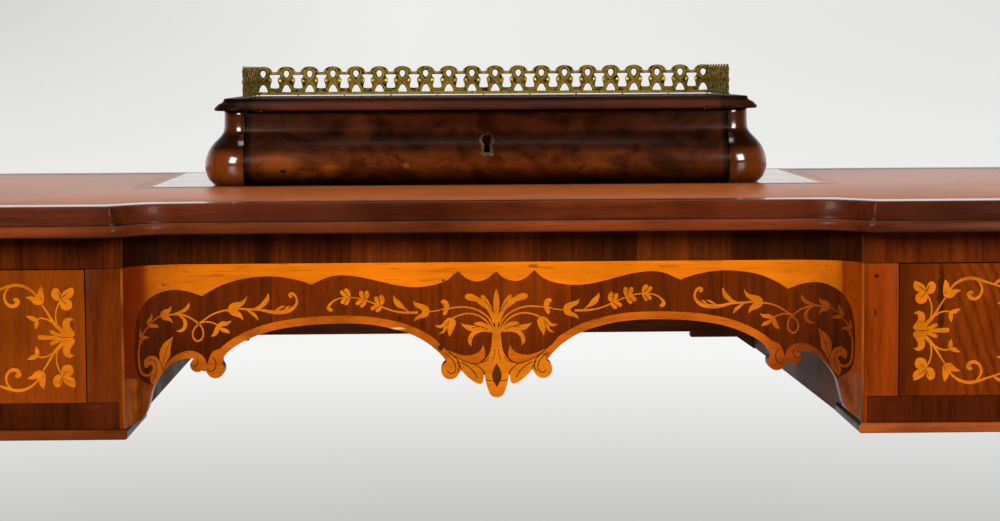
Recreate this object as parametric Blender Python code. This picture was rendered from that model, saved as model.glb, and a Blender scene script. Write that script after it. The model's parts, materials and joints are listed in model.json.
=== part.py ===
import math

import bmesh
import bpy
from mathutils import Matrix, Vector

# Writing table: metres, +Z up, front towards -Y.
# The origin lies on the floor under the middle of the top.

# Whole table
table_width = 1.240
table_depth = 0.612
table_height = 0.760
joint_gap = 0.0003
cut_overrun = 0.004
weld_distance = 0.00002
sharp_angle = 32
arc_steps = 8

# Top board, edge moulding and leather
edge_height = 0.023
edge_width = 0.018
front_overhang = 0.024
back_overhang = 0.014
side_overhang = 0.0225
front_recess = 0.034
arris_setback = 0.0080
bead_height = 0.0092
bead_foot_setback = 0.0035
leather_thickness = 0.0015
leather_side_border = 0.046
leather_front_border = 0.044
leather_centre_border = 0.039
leather_back_border = 0.026
leather_bend_length = 0.034
ground_half_width = 0.291
ground_depth = 0.278

# Carcase
kneehole_half = 0.278
cove_width = 0.050
cove_depth = 0.036
fillet_width = 0.0030
board_thickness = 0.024
panel_thickness = 0.016
panel_setback = 0.0125
back_thickness = 0.018
top_rail_height = 0.024
drawer_opening_height = 0.1012
bottom_rail_height = 0.0201
inner_stile_width = 0.0272
leg_post = 0.042
runner_thickness = 0.012
guide_height = 0.018
guide_gap = 0.0015
back_rail_rise = 0.0105
back_rail_step = 0.004
back_rail_step_half = 0.205

# Bottom bead moulding
foot_bead_height = 0.0078
foot_bead_projection = 0.0025
foot_bead_width = 0.0147
foot_bead_return = 0.111
foot_bead_round = 0.0022

# Kneehole apron
apron_block_depth = 0.060
scroll_radius = 0.0068
small_scroll_radius = 0.0048

# Cabriole legs
knee_reach = 0.010
ankle_draw = 0.004
foot_reach = 0.016
back_reach_share = 0.6
leg_waist_share = 0.5
leg_corner_share = 0.55
knee_half = 0.025
ankle_half = 0.0125
foot_half = 0.0225
leg_corner_sides = 3

# Drawers
drawer_front_thickness = 0.020
drawer_play = 0.0008
drawer_side_thickness = 0.009
drawer_side_drop = 0.014
drawer_side_inset = 0.0022
drawer_bottom_thickness = 0.005
drawer_bottom_rise = 0.007
drawer_back_clearance = 0.056

# Locks
lock_width = 0.040
lock_height = 0.036
lock_thickness = 0.009
bolt_width = 0.018
bolt_thickness = 0.004
bolt_length = 0.016
bolt_travel = 0.006
bolt_play = 0.0003
mortise_play = 0.0006
keyhole_drop = 0.0265
keyhole_radius = 0.0026
keyhole_slot_width = 0.0026
keyhole_slot_length = 0.0075
plate_half_width = 0.0065
plate_height = 0.020
plate_thickness = 0.0008

# Superstructure
case_back_setback = 0.079
case_half_width = 0.2101
case_height = 0.0648
case_depth = 0.195
corner_radius = 0.019
bulge_reach = 0.0176
base_board_thickness = 0.006
case_back_thickness = 0.006
upper_front_thickness = 0.012
upper_back_clearance = 0.012
upper_side_drop = 0.007
cornice_thickness = 0.0109
cornice_overhang = 0.0086
cornice_back_overhang = 0.004
cornice_nose = 0.0096
cornice_corner_radius = 0.026

# Gallery
gallery_height = 0.028
gallery_thickness = 0.0024
gallery_inset = 0.0255
gallery_front_inset = 0.012
gallery_pitch = 0.0222
gallery_base_height = 0.0055
gallery_rim = 0.0026
ring_hole_share = 0.62
point_hole_share = 0.60
gallery_hole_sides = 8
gallery_crest_steps = 5

# Derived levels and places
carcase_top = table_height - edge_height
carcase_half = table_width / 2 - side_overhang
front_y = -table_depth / 2 + front_overhang
back_y = table_depth / 2 - back_overhang
drawer_top_z = carcase_top - top_rail_height
drawer_bottom_z = drawer_top_z - drawer_opening_height
rail_bottom_z = drawer_bottom_z - bottom_rail_height
carcase_bottom = rail_bottom_z - foot_bead_height
post_inner_x = carcase_half - leg_post
case_edge_x = kneehole_half + fillet_width
stile_outer_x = kneehole_half + inner_stile_width
panel_inner_x = kneehole_half + panel_setback
case_back_y = back_y - case_back_setback
case_front_y = case_back_y - case_depth
case_top = table_height + case_height
cornice_top = case_top + cornice_thickness

# Ogee of the raised case: share of its height, share of the bulge's reach
ogee_shares = (
    (0.0, 0.55), (0.06, 0.78), (0.14, 0.93), (0.22, 0.99), (0.30, 1.0), (0.38, 0.94),
    (0.46, 0.82), (0.52, 0.69), (0.58, 0.51), (0.64, 0.29), (0.70, 0.11), (0.78, 0.02), (1.0, 0.0),
)

# Cyma of the top's edge: share of the arris setback, share of the ogee's height below the top
edge_ogee_shares = ((1.0, 0.0), (0.90, 0.20), (0.72, 0.45), (0.42, 0.72), (0.16, 0.88), (0.12, 1.0))

# Nose of the cornice: share of the nose's length, share of the cornice's thickness
cornice_shares = ((0.20, 0.0), (0.0, 0.11), (0.0, 0.25), (0.36, 0.43), (0.83, 0.66), (1.0, 0.89), (1.0, 1.0))

# Lower edge of the apron from its foot towards the middle:
# share of the kneehole's half width, share of the apron's height measured down from its top
foot_shares = (
    (0.996, 1.0), (0.964, 0.970), (0.948, 0.925), (0.942, 0.862), (0.935, 0.800),
    (0.914, 0.727), (0.885, 0.686), (0.856, 0.663),
)
small_scroll_share = (0.820, 0.695)
big_scroll_share = (0.775, 0.719)
arch_shares = (
    (0.755, 0.667), (0.728, 0.623), (0.680, 0.569), (0.633, 0.528), (0.586, 0.505), (0.482, 0.489),
    (0.421, 0.487), (0.345, 0.500), (0.290, 0.522), (0.237, 0.559), (0.183, 0.612), (0.151, 0.654),
    (0.137, 0.702),
)
centre_scroll_share = (0.126, 0.744)
pendant_shares = ((0.083, 0.790), (0.058, 0.815), (0.036, 0.832), (0.022, 0.862), (0.0, 0.890))

# Cabriole leg from the bottom of its post to the floor:
# share of the height, share of the knee's or foot's reach, fullness between ankle and knee or foot
leg_shares = (
    (0.0, 0.25, 0.68), (0.05, 0.75, 0.94), (0.11, 1.0, 1.0), (0.19, 0.86, 0.86), (0.29, 0.50, 0.56),
    (0.40, 0.15, 0.26), (0.52, -0.25, 0.08), (0.64, -0.55, 0.01), (0.76, -0.65, 0.0), (0.86, -0.25, 0.08),
    (0.92, 0.50, 0.36), (0.955, 1.10, 0.68), (0.98, 1.30, 0.76), (1.0, 1.20, 0.64),
)

for item in list(bpy.data.objects):
    bpy.data.objects.remove(item)

parts = bpy.data.collections.new("writing_table")
cutters = bpy.data.collections.new("cutters")
bpy.context.scene.collection.children.link(parts)
bpy.context.scene.collection.children.link(cutters)


def make_material(name, colour, roughness, metallic=0.0):
    material = bpy.data.materials.new(name)
    material.use_nodes = True
    shader = material.node_tree.nodes["Principled BSDF"]
    shader.inputs["Base Color"].default_value = (*colour, 1.0)
    shader.inputs["Roughness"].default_value = roughness
    shader.inputs["Metallic"].default_value = metallic
    material.diffuse_color = (*colour, 1.0)
    return material


walnut = make_material("walnut", (0.16, 0.045, 0.014), 0.30)
dark_walnut = make_material("dark_walnut", (0.070, 0.020, 0.009), 0.25)
veneer = make_material("walnut_veneer", (0.24, 0.075, 0.022), 0.28)
lining = make_material("drawer_lining", (0.36, 0.20, 0.09), 0.60)
leather = make_material("tan_leather", (0.42, 0.20, 0.11), 0.50)
brass = make_material("aged_brass", (0.38, 0.27, 0.10), 0.38, 1.0)


def add_object(name, mesh, material):
    item = bpy.data.objects.new(name, mesh)
    parts.objects.link(item)
    mesh.materials.clear()
    mesh.materials.append(material)
    return item


def mesh_from(bm, name):
    bmesh.ops.recalc_face_normals(bm, faces=bm.faces)
    mesh = bpy.data.meshes.new(name)
    bm.to_mesh(mesh)
    bm.free()
    return mesh


def box_mesh(name, low, high):
    bm = bmesh.new()
    bmesh.ops.create_cube(bm, size=1.0)
    size = [b - a for a, b in zip(low, high)]
    middle = [(a + b) / 2 for a, b in zip(low, high)]
    bmesh.ops.scale(bm, vec=size, verts=bm.verts)
    bmesh.ops.translate(bm, vec=middle, verts=bm.verts)
    return mesh_from(bm, name)


def add_box(name, low, high, material):
    return add_object(name, box_mesh(name, low, high), material)


def add_cutter(name, mesh):
    item = bpy.data.objects.new(name, mesh)
    cutters.objects.link(item)
    item.hide_render = True
    item.display_type = "WIRE"
    return item


def cut(target, cutter):
    modifier = target.modifiers.new(cutter.name, "BOOLEAN")
    modifier.operation = "DIFFERENCE"
    modifier.object = cutter


# A prism's outline lies in the named plane and its thickness along the third axis
plane_turns = {
    "XY": Matrix(((1, 0, 0), (0, 1, 0), (0, 0, 1))),
    "XZ": Matrix(((1, 0, 0), (0, 0, -1), (0, 1, 0))),
    "YZ": Matrix(((0, 0, 1), (1, 0, 0), (0, 1, 0))),
}


def prism_mesh(name, outlines, plane, low, high):
    curve = bpy.data.curves.new(name, "CURVE")
    curve.dimensions = "2D"
    curve.fill_mode = "BOTH"
    curve.extrude = (high - low) / 2
    for outline in outlines:
        spline = curve.splines.new("POLY")
        spline.points.add(len(outline) - 1)
        for point, place in zip(spline.points, outline):
            point.co = (place[0], place[1], 0, 1)
        spline.use_cyclic_u = True
    guide = bpy.data.objects.new(name + "_outline", curve)
    cutters.objects.link(guide)
    graph = bpy.context.evaluated_depsgraph_get()
    mesh = bpy.data.meshes.new_from_object(guide.evaluated_get(graph))
    turn = plane_turns[plane]
    shift = turn @ Vector((0, 0, 1))
    sign = 1 if sum(shift) > 0 else -1
    mesh.transform(Matrix.Translation(shift * sign * (low + high) / 2) @ turn.to_4x4())
    bpy.data.objects.remove(guide)
    bm = bmesh.new()
    bm.from_mesh(mesh)
    bmesh.ops.remove_doubles(bm, verts=bm.verts, dist=weld_distance)
    return mesh_from(bm, name)


def add_prism(name, outlines, plane, low, high, material):
    return add_object(name, prism_mesh(name, outlines, plane, low, high), material)


def skin_mesh(name, rings):
    # A loft through closed rings of equal count, with both ends closed
    bm = bmesh.new()
    rows = [[bm.verts.new(point) for point in ring] for ring in rings]
    count = len(rows[0])
    for row, above in zip(rows, rows[1:]):
        for i in range(count):
            j = (i + 1) % count
            bm.faces.new((row[i], row[j], above[j], above[i]))
    bm.faces.new(rows[0])
    bm.faces.new(rows[-1])
    return mesh_from(bm, name)


def arc(centre, radius_x, radius_y, start, end, steps):
    # Points of an elliptical arc, angles in degrees
    places = []
    for i in range(steps + 1):
        angle = math.radians(start + (end - start) * i / steps)
        places.append((centre[0] + radius_x * math.cos(angle), centre[1] + radius_y * math.sin(angle)))
    return places


def mirrored(points):
    # A right half from the outside inwards becomes the whole, from right to left
    left = [(-x, y) for x, y in reversed(points) if x > weld_distance]
    return points + left


def table_outline(inset=0.0):
    # Plan of the top, anticlockwise from its front left corner, set in from the outermost line.
    # A cove's sharp corner stays where the straight front and the cove's own parallel line meet.
    half = table_width / 2 - inset
    front = -table_depth / 2 + inset
    back = table_depth / 2 - inset
    cove_centre = (kneehole_half - cove_width, -table_depth / 2)
    radius_x = cove_width + inset
    radius_y = front_recess + inset
    corner_angle = math.degrees(math.asin(inset / radius_y))
    cove = arc(cove_centre, radius_x, radius_y, 90, corner_angle, arc_steps)
    left_cove = [(-x, y) for x, y in reversed(cove)]
    return [(-half, front)] + left_cove + cove + [(half, front), (half, back), (-half, back)]


def edge_run(name, first, last, profile):
    # A moulding between two corners of the top, mitred at both ends
    outlines = [(table_outline(inset), height) for inset, height in profile]
    count = len(outlines[0][0])
    rings = []
    for i in range(first, last + 1):
        shift = Vector((0, 0))
        outer = outlines[-1][0]
        here = Vector(outer[i % count])
        if i == first:
            shift = (Vector(outer[(i + 1) % count]) - here).normalized() * joint_gap
        if i == last:
            shift = (Vector(outer[(i - 1) % count]) - here).normalized() * joint_gap
        ring = []
        for outline, height in outlines:
            place = Vector(outline[i % count]) + shift
            ring.append((place.x, place.y, height))
        rings.append(ring)
    return add_object(name, skin_mesh(name, rings), walnut)


def top_board():
    low = carcase_top + joint_gap
    inner = table_outline(edge_width + joint_gap)
    board = add_prism("top_board", [inner], "XY", low, table_height, walnut)
    recess = prism_mesh(
        "leather_recess", [leather_outline(-joint_gap)], "XY",
        table_height - leather_thickness - joint_gap, table_height + cut_overrun,
    )
    cut(board, add_cutter("leather_recess_cutter", recess))
    ogee_height = edge_height - bead_height
    profile = [(edge_width, low), (edge_width, table_height)]
    for setback, drop in edge_ogee_shares:
        profile.append((arris_setback * setback, table_height - ogee_height * drop))
    bead_middle = carcase_top + bead_height / 2
    profile += [(0, bead_middle + bead_height / 4), (0, bead_middle - bead_height / 4)]
    profile += [(bead_foot_setback, low)]
    front_end = len(inner) - 3
    edge_run("front_edge_moulding", 0, front_end, profile)
    edge_run("right_edge_moulding", front_end, front_end + 1, profile)
    edge_run("back_edge_moulding", front_end + 1, front_end + 2, profile)
    edge_run("left_edge_moulding", front_end + 2, front_end + 3, profile)


def leather_outline(inset):
    # The writing surface goes round the plain ground of the raised case like a U
    right = table_width / 2 - leather_side_border - inset
    front = -table_depth / 2 + leather_front_border + inset
    centre = -table_depth / 2 + front_recess + leather_centre_border + inset
    back = table_depth / 2 - leather_back_border - inset
    ground = ground_half_width + inset
    ground_front = table_depth / 2 - leather_back_border - ground_depth - inset
    bend_start = kneehole_half + leather_bend_length / 2
    half = [(ground, ground_front), (ground, back), (right, back), (right, front)]
    for i in range(arc_steps + 1):
        share = i / arc_steps
        rise = share * share * (3 - 2 * share)
        half.append((bend_start - leather_bend_length * share, front + (centre - front) * rise))
    left = [(-x, y) for x, y in reversed(half)]
    return half + left


def writing_leather():
    low = table_height - leather_thickness
    add_prism("writing_leather", [leather_outline(0)], "XY", low, table_height, leather)


def side_name(side):
    return "right" if side > 0 else "left"


def side_box(name, side, x0, x1, y0, y1, z0, z1, material):
    low_x, high_x = sorted((side * x0, side * x1))
    return add_box(name, (low_x, y0, z0), (high_x, y1, z1), material)


def case_frame(side):
    word = side_name(side)
    inner = case_edge_x + joint_gap
    post = post_inner_x - joint_gap
    rail_y = front_y + board_thickness
    top_rail = side_box(
        word + "_top_rail", side, inner, post, front_y, rail_y, drawer_top_z, carcase_top, dark_walnut)
    cut_bolt_mortise(top_rail, side * frieze_centre_x(), front_y, drawer_top_z)
    side_box(
        word + "_bottom_rail", side, inner, post, front_y, rail_y,
        rail_bottom_z + joint_gap, drawer_bottom_z, walnut)
    side_box(
        word + "_inner_stile", side, inner, stile_outer_x, front_y, rail_y,
        drawer_bottom_z + joint_gap, drawer_top_z - joint_gap, walnut)
    back_inner = back_y - back_thickness - joint_gap
    side_box(
        word + "_inner_panel", side, panel_inner_x, panel_inner_x + panel_thickness,
        rail_y + joint_gap, back_inner, carcase_bottom, carcase_top, dark_walnut)
    side_box(
        word + "_outer_panel", side, carcase_half - panel_thickness, carcase_half,
        front_y + leg_post + joint_gap, back_y - leg_post - joint_gap, carcase_bottom, carcase_top, walnut)
    runner(side, word)


def runner(side, word):
    # One board carries the drawer, and its raised lip guides the drawer's outer side
    inner = panel_inner_x + panel_thickness + joint_gap
    outer = carcase_half - panel_thickness - joint_gap
    lip = drawer_outer_x() + guide_gap
    top = drawer_bottom_z
    low = top - runner_thickness
    outline = [
        (side * inner, low), (side * outer, low), (side * outer, top + guide_height),
        (side * lip, top + guide_height), (side * lip, top), (side * inner, top),
    ]
    front = front_y + leg_post + joint_gap
    back = back_y - leg_post - joint_gap
    add_prism(word + "_drawer_runner", [outline], "XZ", front, back, lining)


def frieze_centre_x():
    return (stile_outer_x + post_inner_x) / 2


def drawer_outer_x():
    return post_inner_x - drawer_play - drawer_side_inset


def back_rail():
    half = post_inner_x - joint_gap
    low = carcase_bottom + back_rail_rise
    high = low + back_rail_step
    step = back_rail_step_half
    outline = mirrored([(half, carcase_top), (half, low), (step, low), (step, high)])
    add_prism("back_rail", [outline], "XZ", back_y - back_thickness, back_y, walnut)


def foot_bead(side):
    # A rounded strip under the case front that turns back along the kneehole
    word = side_name(side)
    low = carcase_bottom
    high = rail_bottom_z
    outer = post_inner_x - joint_gap
    nose = -foot_bead_projection
    inside = foot_bead_width + nose
    round_off = foot_bead_round
    profile = [
        (inside, low), (nose + round_off, low), (nose, low + round_off),
        (nose, high - round_off), (nose + round_off, high), (inside, high),
    ]
    corner = Vector((kneehole_half, front_y))
    path = [
        (Vector((outer, front_y)), Vector((0, 1))),
        (corner, Vector((1, 1))),
        (Vector((kneehole_half, front_y + foot_bead_return)), Vector((1, 0))),
    ]
    rings = []
    for place, inwards in path:
        ring = []
        for depth, height in profile:
            spot = place + inwards * depth
            ring.append((side * spot.x, spot.y, height))
        rings.append(ring)
    add_object(word + "_foot_bead", skin_mesh(word + "_foot_bead", rings), walnut)


def apron_outline():
    height = carcase_top - rail_bottom_z - joint_gap

    def place(share):
        return (kneehole_half * share[0], carcase_top - height * share[1])

    half = [(case_edge_x, carcase_top), (case_edge_x, carcase_top - height)]
    half += [place(share) for share in foot_shares]
    half += arc(place(small_scroll_share), small_scroll_radius, small_scroll_radius, 60, -125, arc_steps)
    half += arc(place(big_scroll_share), scroll_radius, scroll_radius, -20, -215, arc_steps)
    half += [place(share) for share in arch_shares]
    half += arc(place(centre_scroll_share), scroll_radius, scroll_radius, 35, -135, arc_steps)
    half += [place(share) for share in pendant_shares]
    return mirrored(half)


def kneehole_apron():
    middle_front = front_y + cove_depth
    back = front_y + apron_block_depth
    board = add_prism("kneehole_apron", [apron_outline()], "XZ", front_y, back, veneer)
    # The hollow in front of the board, with a quarter cove at each end
    cove_end = (kneehole_half - cove_width, front_y)
    cove = arc(cove_end, cove_width, cove_depth, 0, 90, arc_steps)
    hollow = mirrored([(kneehole_half, front_y - cut_overrun)] + cove)
    low = rail_bottom_z - cut_overrun
    high = carcase_top + cut_overrun
    cutter = prism_mesh("apron_hollow", [hollow], "XY", low, high)
    cut(board, add_cutter("apron_hollow_cutter", cutter))
    # The middle is only as thick as a board, and its ends stay as blocks
    thin_back = middle_front + board_thickness
    if back - thin_back > joint_gap:
        block_x = kneehole_half - cove_width
        relief = box_mesh(
            "apron_relief", (-block_x, thin_back, low), (block_x, back + cut_overrun, high))
        cut(board, add_cutter("apron_relief_cutter", relief))


def leg_radius(share, blend):
    # A blend of zero is the ankle, and one is the fullest of the knee or the foot
    widest = knee_half if share < leg_waist_share else foot_half
    return ankle_half + (widest - ankle_half) * blend


def rounded_square(centre, half, corner, height):
    ring = []
    for turn in range(4):
        angle = turn * 90
        sign_x = 1 if turn in (0, 3) else -1
        sign_y = 1 if turn in (0, 1) else -1
        middle = (centre[0] + sign_x * (half - corner), centre[1] + sign_y * (half - corner))
        for x, y in arc(middle, corner, corner, angle, angle + 90, leg_corner_sides):
            ring.append((x, y, height))
    return ring


def leg(side, end):
    word = ("front_" if end < 0 else "back_") + side_name(side) + "_leg"
    outer_x = side * carcase_half
    outer_y = front_y if end < 0 else back_y
    half = leg_post / 2
    centre = (outer_x - side * half, outer_y - end * half)
    post_corner = foot_bead_round
    rings = [
        rounded_square(centre, half, post_corner, carcase_top),
        rounded_square(centre, half, post_corner, carcase_bottom),
    ]
    for height_share, reach_share, blend in leg_shares:
        radius = leg_radius(height_share, blend)
        reach = knee_reach if height_share < leg_waist_share else foot_reach
        if reach_share < 0:
            reach = ankle_draw
        shift = reach * reach_share + (half - radius)
        depth_shift = shift
        if end > 0:
            depth_shift = reach * reach_share * back_reach_share + (half - radius)
        middle = (centre[0] + side * shift, centre[1] + end * depth_shift)
        height = (carcase_bottom - foot_bead_round) * (1 - height_share)
        rings.append(rounded_square(middle, radius, radius * leg_corner_share, height))
    add_object(word, skin_mesh(word, rings), walnut)


def cut_bolt_mortise(target, x, face_y, low):
    # The slot above a drawer that its lock's bolt rises into
    half = bolt_width / 2 + mortise_play
    middle = lock_middle_y(face_y)
    deep = bolt_thickness / 2 + mortise_play
    mortise = box_mesh(
        target.name + "_mortise", (x - half, middle - deep, low - cut_overrun),
        (x + half, middle + deep, low + bolt_travel + mortise_play))
    cut(target, add_cutter(target.name + "_mortise_cutter", mortise))


def lock_middle_y(face_y):
    return face_y + drawer_front_thickness - lock_thickness / 2


def keyhole_mesh(name, x, centre_z, y0, y1):
    # Round above, with a straight slot below
    half = keyhole_slot_width / 2
    start = -90 + math.degrees(math.asin(half / keyhole_radius))
    ring = arc((x, centre_z), keyhole_radius, keyhole_radius, start, 180 - start, arc_steps)
    bottom = centre_z - keyhole_slot_length
    outline = ring + [(x - half, bottom), (x + half, bottom)]
    return prism_mesh(name, [outline], "XZ", y0, y1)


def add_lock(word, x, top, face_y, target, plate_front_y):
    # Lock case in the back of the drawer front, its sliding bolt, and the keyhole through the front
    middle = lock_middle_y(face_y)
    half = lock_width / 2
    back = middle + lock_thickness / 2
    ahead = middle - lock_thickness / 2
    pocket = box_mesh(
        word + "_lock_pocket",
        (x - half - joint_gap, ahead - joint_gap, top - lock_height - joint_gap),
        (x + half + joint_gap, back + cut_overrun, top + cut_overrun))
    cut(target, add_cutter(word + "_lock_pocket_cutter", pocket))
    case = add_box(
        word + "_lock_case", (x - half, ahead, top - lock_height), (x + half, back, top), brass)
    slot_half = bolt_width / 2 + bolt_play
    slot_deep = bolt_thickness / 2 + bolt_play
    slot = box_mesh(
        word + "_bolt_slot", (x - slot_half, middle - slot_deep, top - bolt_length - joint_gap),
        (x + slot_half, middle + slot_deep, top + cut_overrun))
    cut(case, add_cutter(word + "_bolt_slot_cutter", slot))
    add_box(
        word + "_lock_bolt",
        (x - bolt_width / 2, middle - bolt_thickness / 2, top - bolt_length),
        (x + bolt_width / 2, middle + bolt_thickness / 2, top), brass)
    keyhole_z = top - keyhole_drop
    opening = keyhole_mesh(
        word + "_keyhole", x, keyhole_z, plate_front_y - cut_overrun, middle - bolt_thickness)
    keyhole = add_cutter(word + "_keyhole_cutter", opening)
    cut(target, keyhole)
    return keyhole


def drawer_box(word, x0, x1, face_y, low, top, end):
    # Two sides, a back and a bottom behind a drawer front, each its own board
    back_face = face_y + drawer_front_thickness + joint_gap
    thick = drawer_side_thickness
    add_box(word + "_drawer_left_side", (x0, back_face, low), (x0 + thick, end, top), lining)
    add_box(word + "_drawer_right_side", (x1 - thick, back_face, low), (x1, end, top), lining)
    left = x0 + thick + joint_gap
    right = x1 - thick - joint_gap
    floor = low + drawer_bottom_rise
    floor_top = floor + drawer_bottom_thickness
    add_box(word + "_drawer_bottom", (left, back_face, floor), (right, end, floor_top), lining)
    add_box(
        word + "_drawer_back", (left, end - thick, floor_top + joint_gap), (right, end, top), lining)


def slide_origin(word, x, y, z):
    # An empty on the drawer's sliding axis carries all its boards
    empty = bpy.data.objects.new(word + "_drawer_slide", None)
    parts.objects.link(empty)
    empty.location = (x, y, z)
    bpy.context.view_layer.update()
    return empty


def place_under(empty, items):
    for item in items:
        item.parent = empty
        item.matrix_parent_inverse = empty.matrix_world.inverted()


def frieze_drawer(side):
    word = side_name(side)
    inner = stile_outer_x + drawer_play
    outer = post_inner_x - drawer_play
    x0, x1 = sorted((side * inner, side * outer))
    low = drawer_bottom_z + joint_gap
    high = drawer_top_z - drawer_play
    before = set(parts.objects)
    front = add_box(
        word + "_drawer_front", (x0, front_y, low), (x1, front_y + drawer_front_thickness, high), veneer)
    x = side * frieze_centre_x()
    keyhole = add_lock(word, x, high, front_y, front, front_y - plate_thickness)
    plate_middle = high - keyhole_drop - keyhole_slot_length / 3
    sides = 2 * arc_steps
    outline = arc((x, plate_middle), plate_half_width, plate_height / 2, 0, 360 - 360 / sides, sides - 1)
    plate = add_prism(
        word + "_keyhole_plate", [outline], "XZ", front_y - plate_thickness - joint_gap,
        front_y - joint_gap, brass)
    cut(plate, keyhole)
    drawer_box(
        word, x0 + drawer_side_inset, x1 - drawer_side_inset, front_y,
        low, high - drawer_side_drop, back_y - back_thickness - drawer_back_clearance)
    added = [item for item in parts.objects if item not in before]
    place_under(slide_origin(word, x, front_y, low), added)


def ogee_profile(low, high):
    # Points (reach, height) of the case's swelling face between two heights
    return [(bulge_reach * reach, low + (high - low) * share) for share, reach in ogee_shares]


def ogee_reach(height):
    # How far the swelling face stands out at one height
    share = (height - table_height) / case_height
    for (low, reach), (high, next_reach) in zip(ogee_shares, ogee_shares[1:]):
        if low <= share <= high:
            return bulge_reach * (reach + (next_reach - reach) * (share - low) / (high - low))
    return 0.0


def raised_case():
    low = table_height + joint_gap
    high = case_top - joint_gap
    inner = case_half_width + drawer_play
    side_front = case_front_y + corner_radius
    between = inner - joint_gap
    base_front = case_front_y + upper_front_thickness + joint_gap
    back_board_front = case_back_y - case_back_thickness
    add_box(
        "raised_case_base", (-between, base_front, low),
        (between, back_board_front - joint_gap, low + base_board_thickness), walnut)
    add_box(
        "raised_case_back", (-between, back_board_front, low), (between, case_back_y, high), walnut)
    for side in (-1, 1):
        word = side_name(side)
        levels = ogee_profile(low, high)
        rings = []
        for reach, height in levels:
            turn = arc((0, 0), corner_radius + reach, corner_radius + reach, 0, -90, arc_steps)
            ring = [(side * inner, side_front - joint_gap, height)]
            for x, y in turn:
                ring.append((side * (inner + x), side_front - joint_gap + y, height))
            rings.append(ring)
        name = word + "_corner_block"
        add_object(name, skin_mesh(name, rings), walnut)
        outline = [(side * inner, low), (side * inner, high)]
        face = [(side * (inner + corner_radius + reach), height) for reach, height in levels]
        outline += list(reversed(face))
        add_prism(word + "_raised_case_side", [outline], "XZ", side_front, case_back_y, walnut)


def upper_drawer():
    low = table_height + drawer_play
    high = case_top - drawer_play
    face = [(case_front_y - reach, height) for reach, height in ogee_profile(low, high)]
    back = case_front_y + upper_front_thickness
    before = set(parts.objects)
    outline = face + [(back, high), (back, low)]
    front = add_prism("upper_drawer_front", [outline], "YZ", -case_half_width, case_half_width, dark_walnut)
    face_y = back - drawer_front_thickness
    keyhole_z = high - keyhole_drop
    nearest = case_front_y - ogee_reach(keyhole_z - plate_height)
    keyhole = add_lock("upper", 0, high, face_y, front, nearest - plate_thickness)
    middle = keyhole_z - keyhole_slot_length / 3
    heights = [middle - plate_height / 2 + plate_height * i / arc_steps for i in range(arc_steps + 1)]
    plate_back = [(case_front_y - ogee_reach(height) - joint_gap, height) for height in heights]
    plate_face = [(y - plate_thickness, height) for y, height in plate_back]
    outline = plate_face + list(reversed(plate_back))
    plate = add_prism("upper_keyhole_plate", [outline], "YZ", -plate_half_width, plate_half_width, brass)
    cut(plate, keyhole)
    inner = case_half_width - drawer_side_inset
    box_low = table_height + joint_gap + base_board_thickness + joint_gap
    end = case_back_y - case_back_thickness - upper_back_clearance
    drawer_box("upper", -inner, inner, face_y, box_low, high - upper_side_drop, end)
    added = [item for item in parts.objects if item not in before]
    place_under(slide_origin("upper", 0, case_front_y, box_low), added)


def cornice():
    half = case_half_width + drawer_play + corner_radius + cornice_overhang
    front = case_front_y - cornice_overhang
    back = case_back_y + cornice_back_overhang
    rings = []
    for inset_share, thickness_share in cornice_shares:
        inset = cornice_nose * inset_share
        height = case_top + cornice_thickness * thickness_share
        radius = cornice_corner_radius - inset
        centre = (half - cornice_corner_radius, front + cornice_corner_radius)
        right = arc(centre, radius, radius, -90, 0, arc_steps)
        outline = right + [(half - inset, back)]
        ring = [(x, y, height) for x, y in outline]
        ring += [(-x, y, height) for x, y in reversed(outline)]
        rings.append(ring)
    board = add_object("cornice_board", skin_mesh("cornice_board", rings), walnut)
    cut_bolt_mortise(
        board, 0, case_front_y + upper_front_thickness - drawer_front_thickness, case_top)


def gallery_outlines(length):
    # Base strip, a row of scalloped rings with round holes, and a pointed hole between each two
    count = max(1, round(length / gallery_pitch))
    pitch = length / count
    radius = pitch / 2
    crest = gallery_height - radius
    # Neighbouring crests run into each other where the rim between them is thinnest
    reach = math.degrees(math.acos((radius - gallery_rim / 2) / radius))
    outer = [(0, 0), (length, 0)]
    for i in reversed(range(count)):
        outer += arc(((i + 0.5) * pitch, crest), radius, radius, reach, 180 - reach, gallery_crest_steps)
    outlines = [outer]
    hole = (radius - gallery_rim) * ring_hole_share
    foot = (radius - gallery_rim) * point_hole_share
    sides = gallery_hole_sides
    for i in range(count):
        middle = (i + 0.5) * pitch
        outlines.append(arc((middle, crest), hole, hole, 0, 360 - 360 / sides, sides - 1))
        low = gallery_base_height
        outlines.append([(middle - foot, low), (middle + foot, low), (middle, crest - hole - gallery_rim)])
    return outlines


def gallery():
    stand = cornice_top + joint_gap
    half = case_half_width + drawer_play + corner_radius + cornice_overhang - gallery_inset
    back = case_back_y + cornice_back_overhang - gallery_inset
    front = case_front_y - cornice_overhang + gallery_front_inset
    shifted = []
    for outline in gallery_outlines(2 * half):
        shifted.append([(x - half, z + stand) for x, z in outline])
    add_prism("gallery_back", shifted, "XZ", back - gallery_thickness, back, brass)
    run = back - gallery_thickness - joint_gap - front
    shifted = []
    for outline in gallery_outlines(run):
        shifted.append([(y + front, z + stand) for y, z in outline])
    for side in (-1, 1):
        low, high = sorted((side * half, side * (half - gallery_thickness)))
        add_prism("gallery_" + side_name(side), shifted, "YZ", low, high, brass)


def shade_round_pieces():
    for item in parts.objects:
        if item.type != "MESH":
            continue
        item.data.shade_smooth()
        item.data.set_sharp_from_angle(angle=math.radians(sharp_angle))


top_board()
writing_leather()
for case_side in (-1, 1):
    case_frame(case_side)
    foot_bead(case_side)
    frieze_drawer(case_side)
    for leg_end in (-1, 1):
        leg(case_side, leg_end)
back_rail()
kneehole_apron()
raised_case()
upper_drawer()
cornice()
gallery()
shade_round_pieces()
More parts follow.
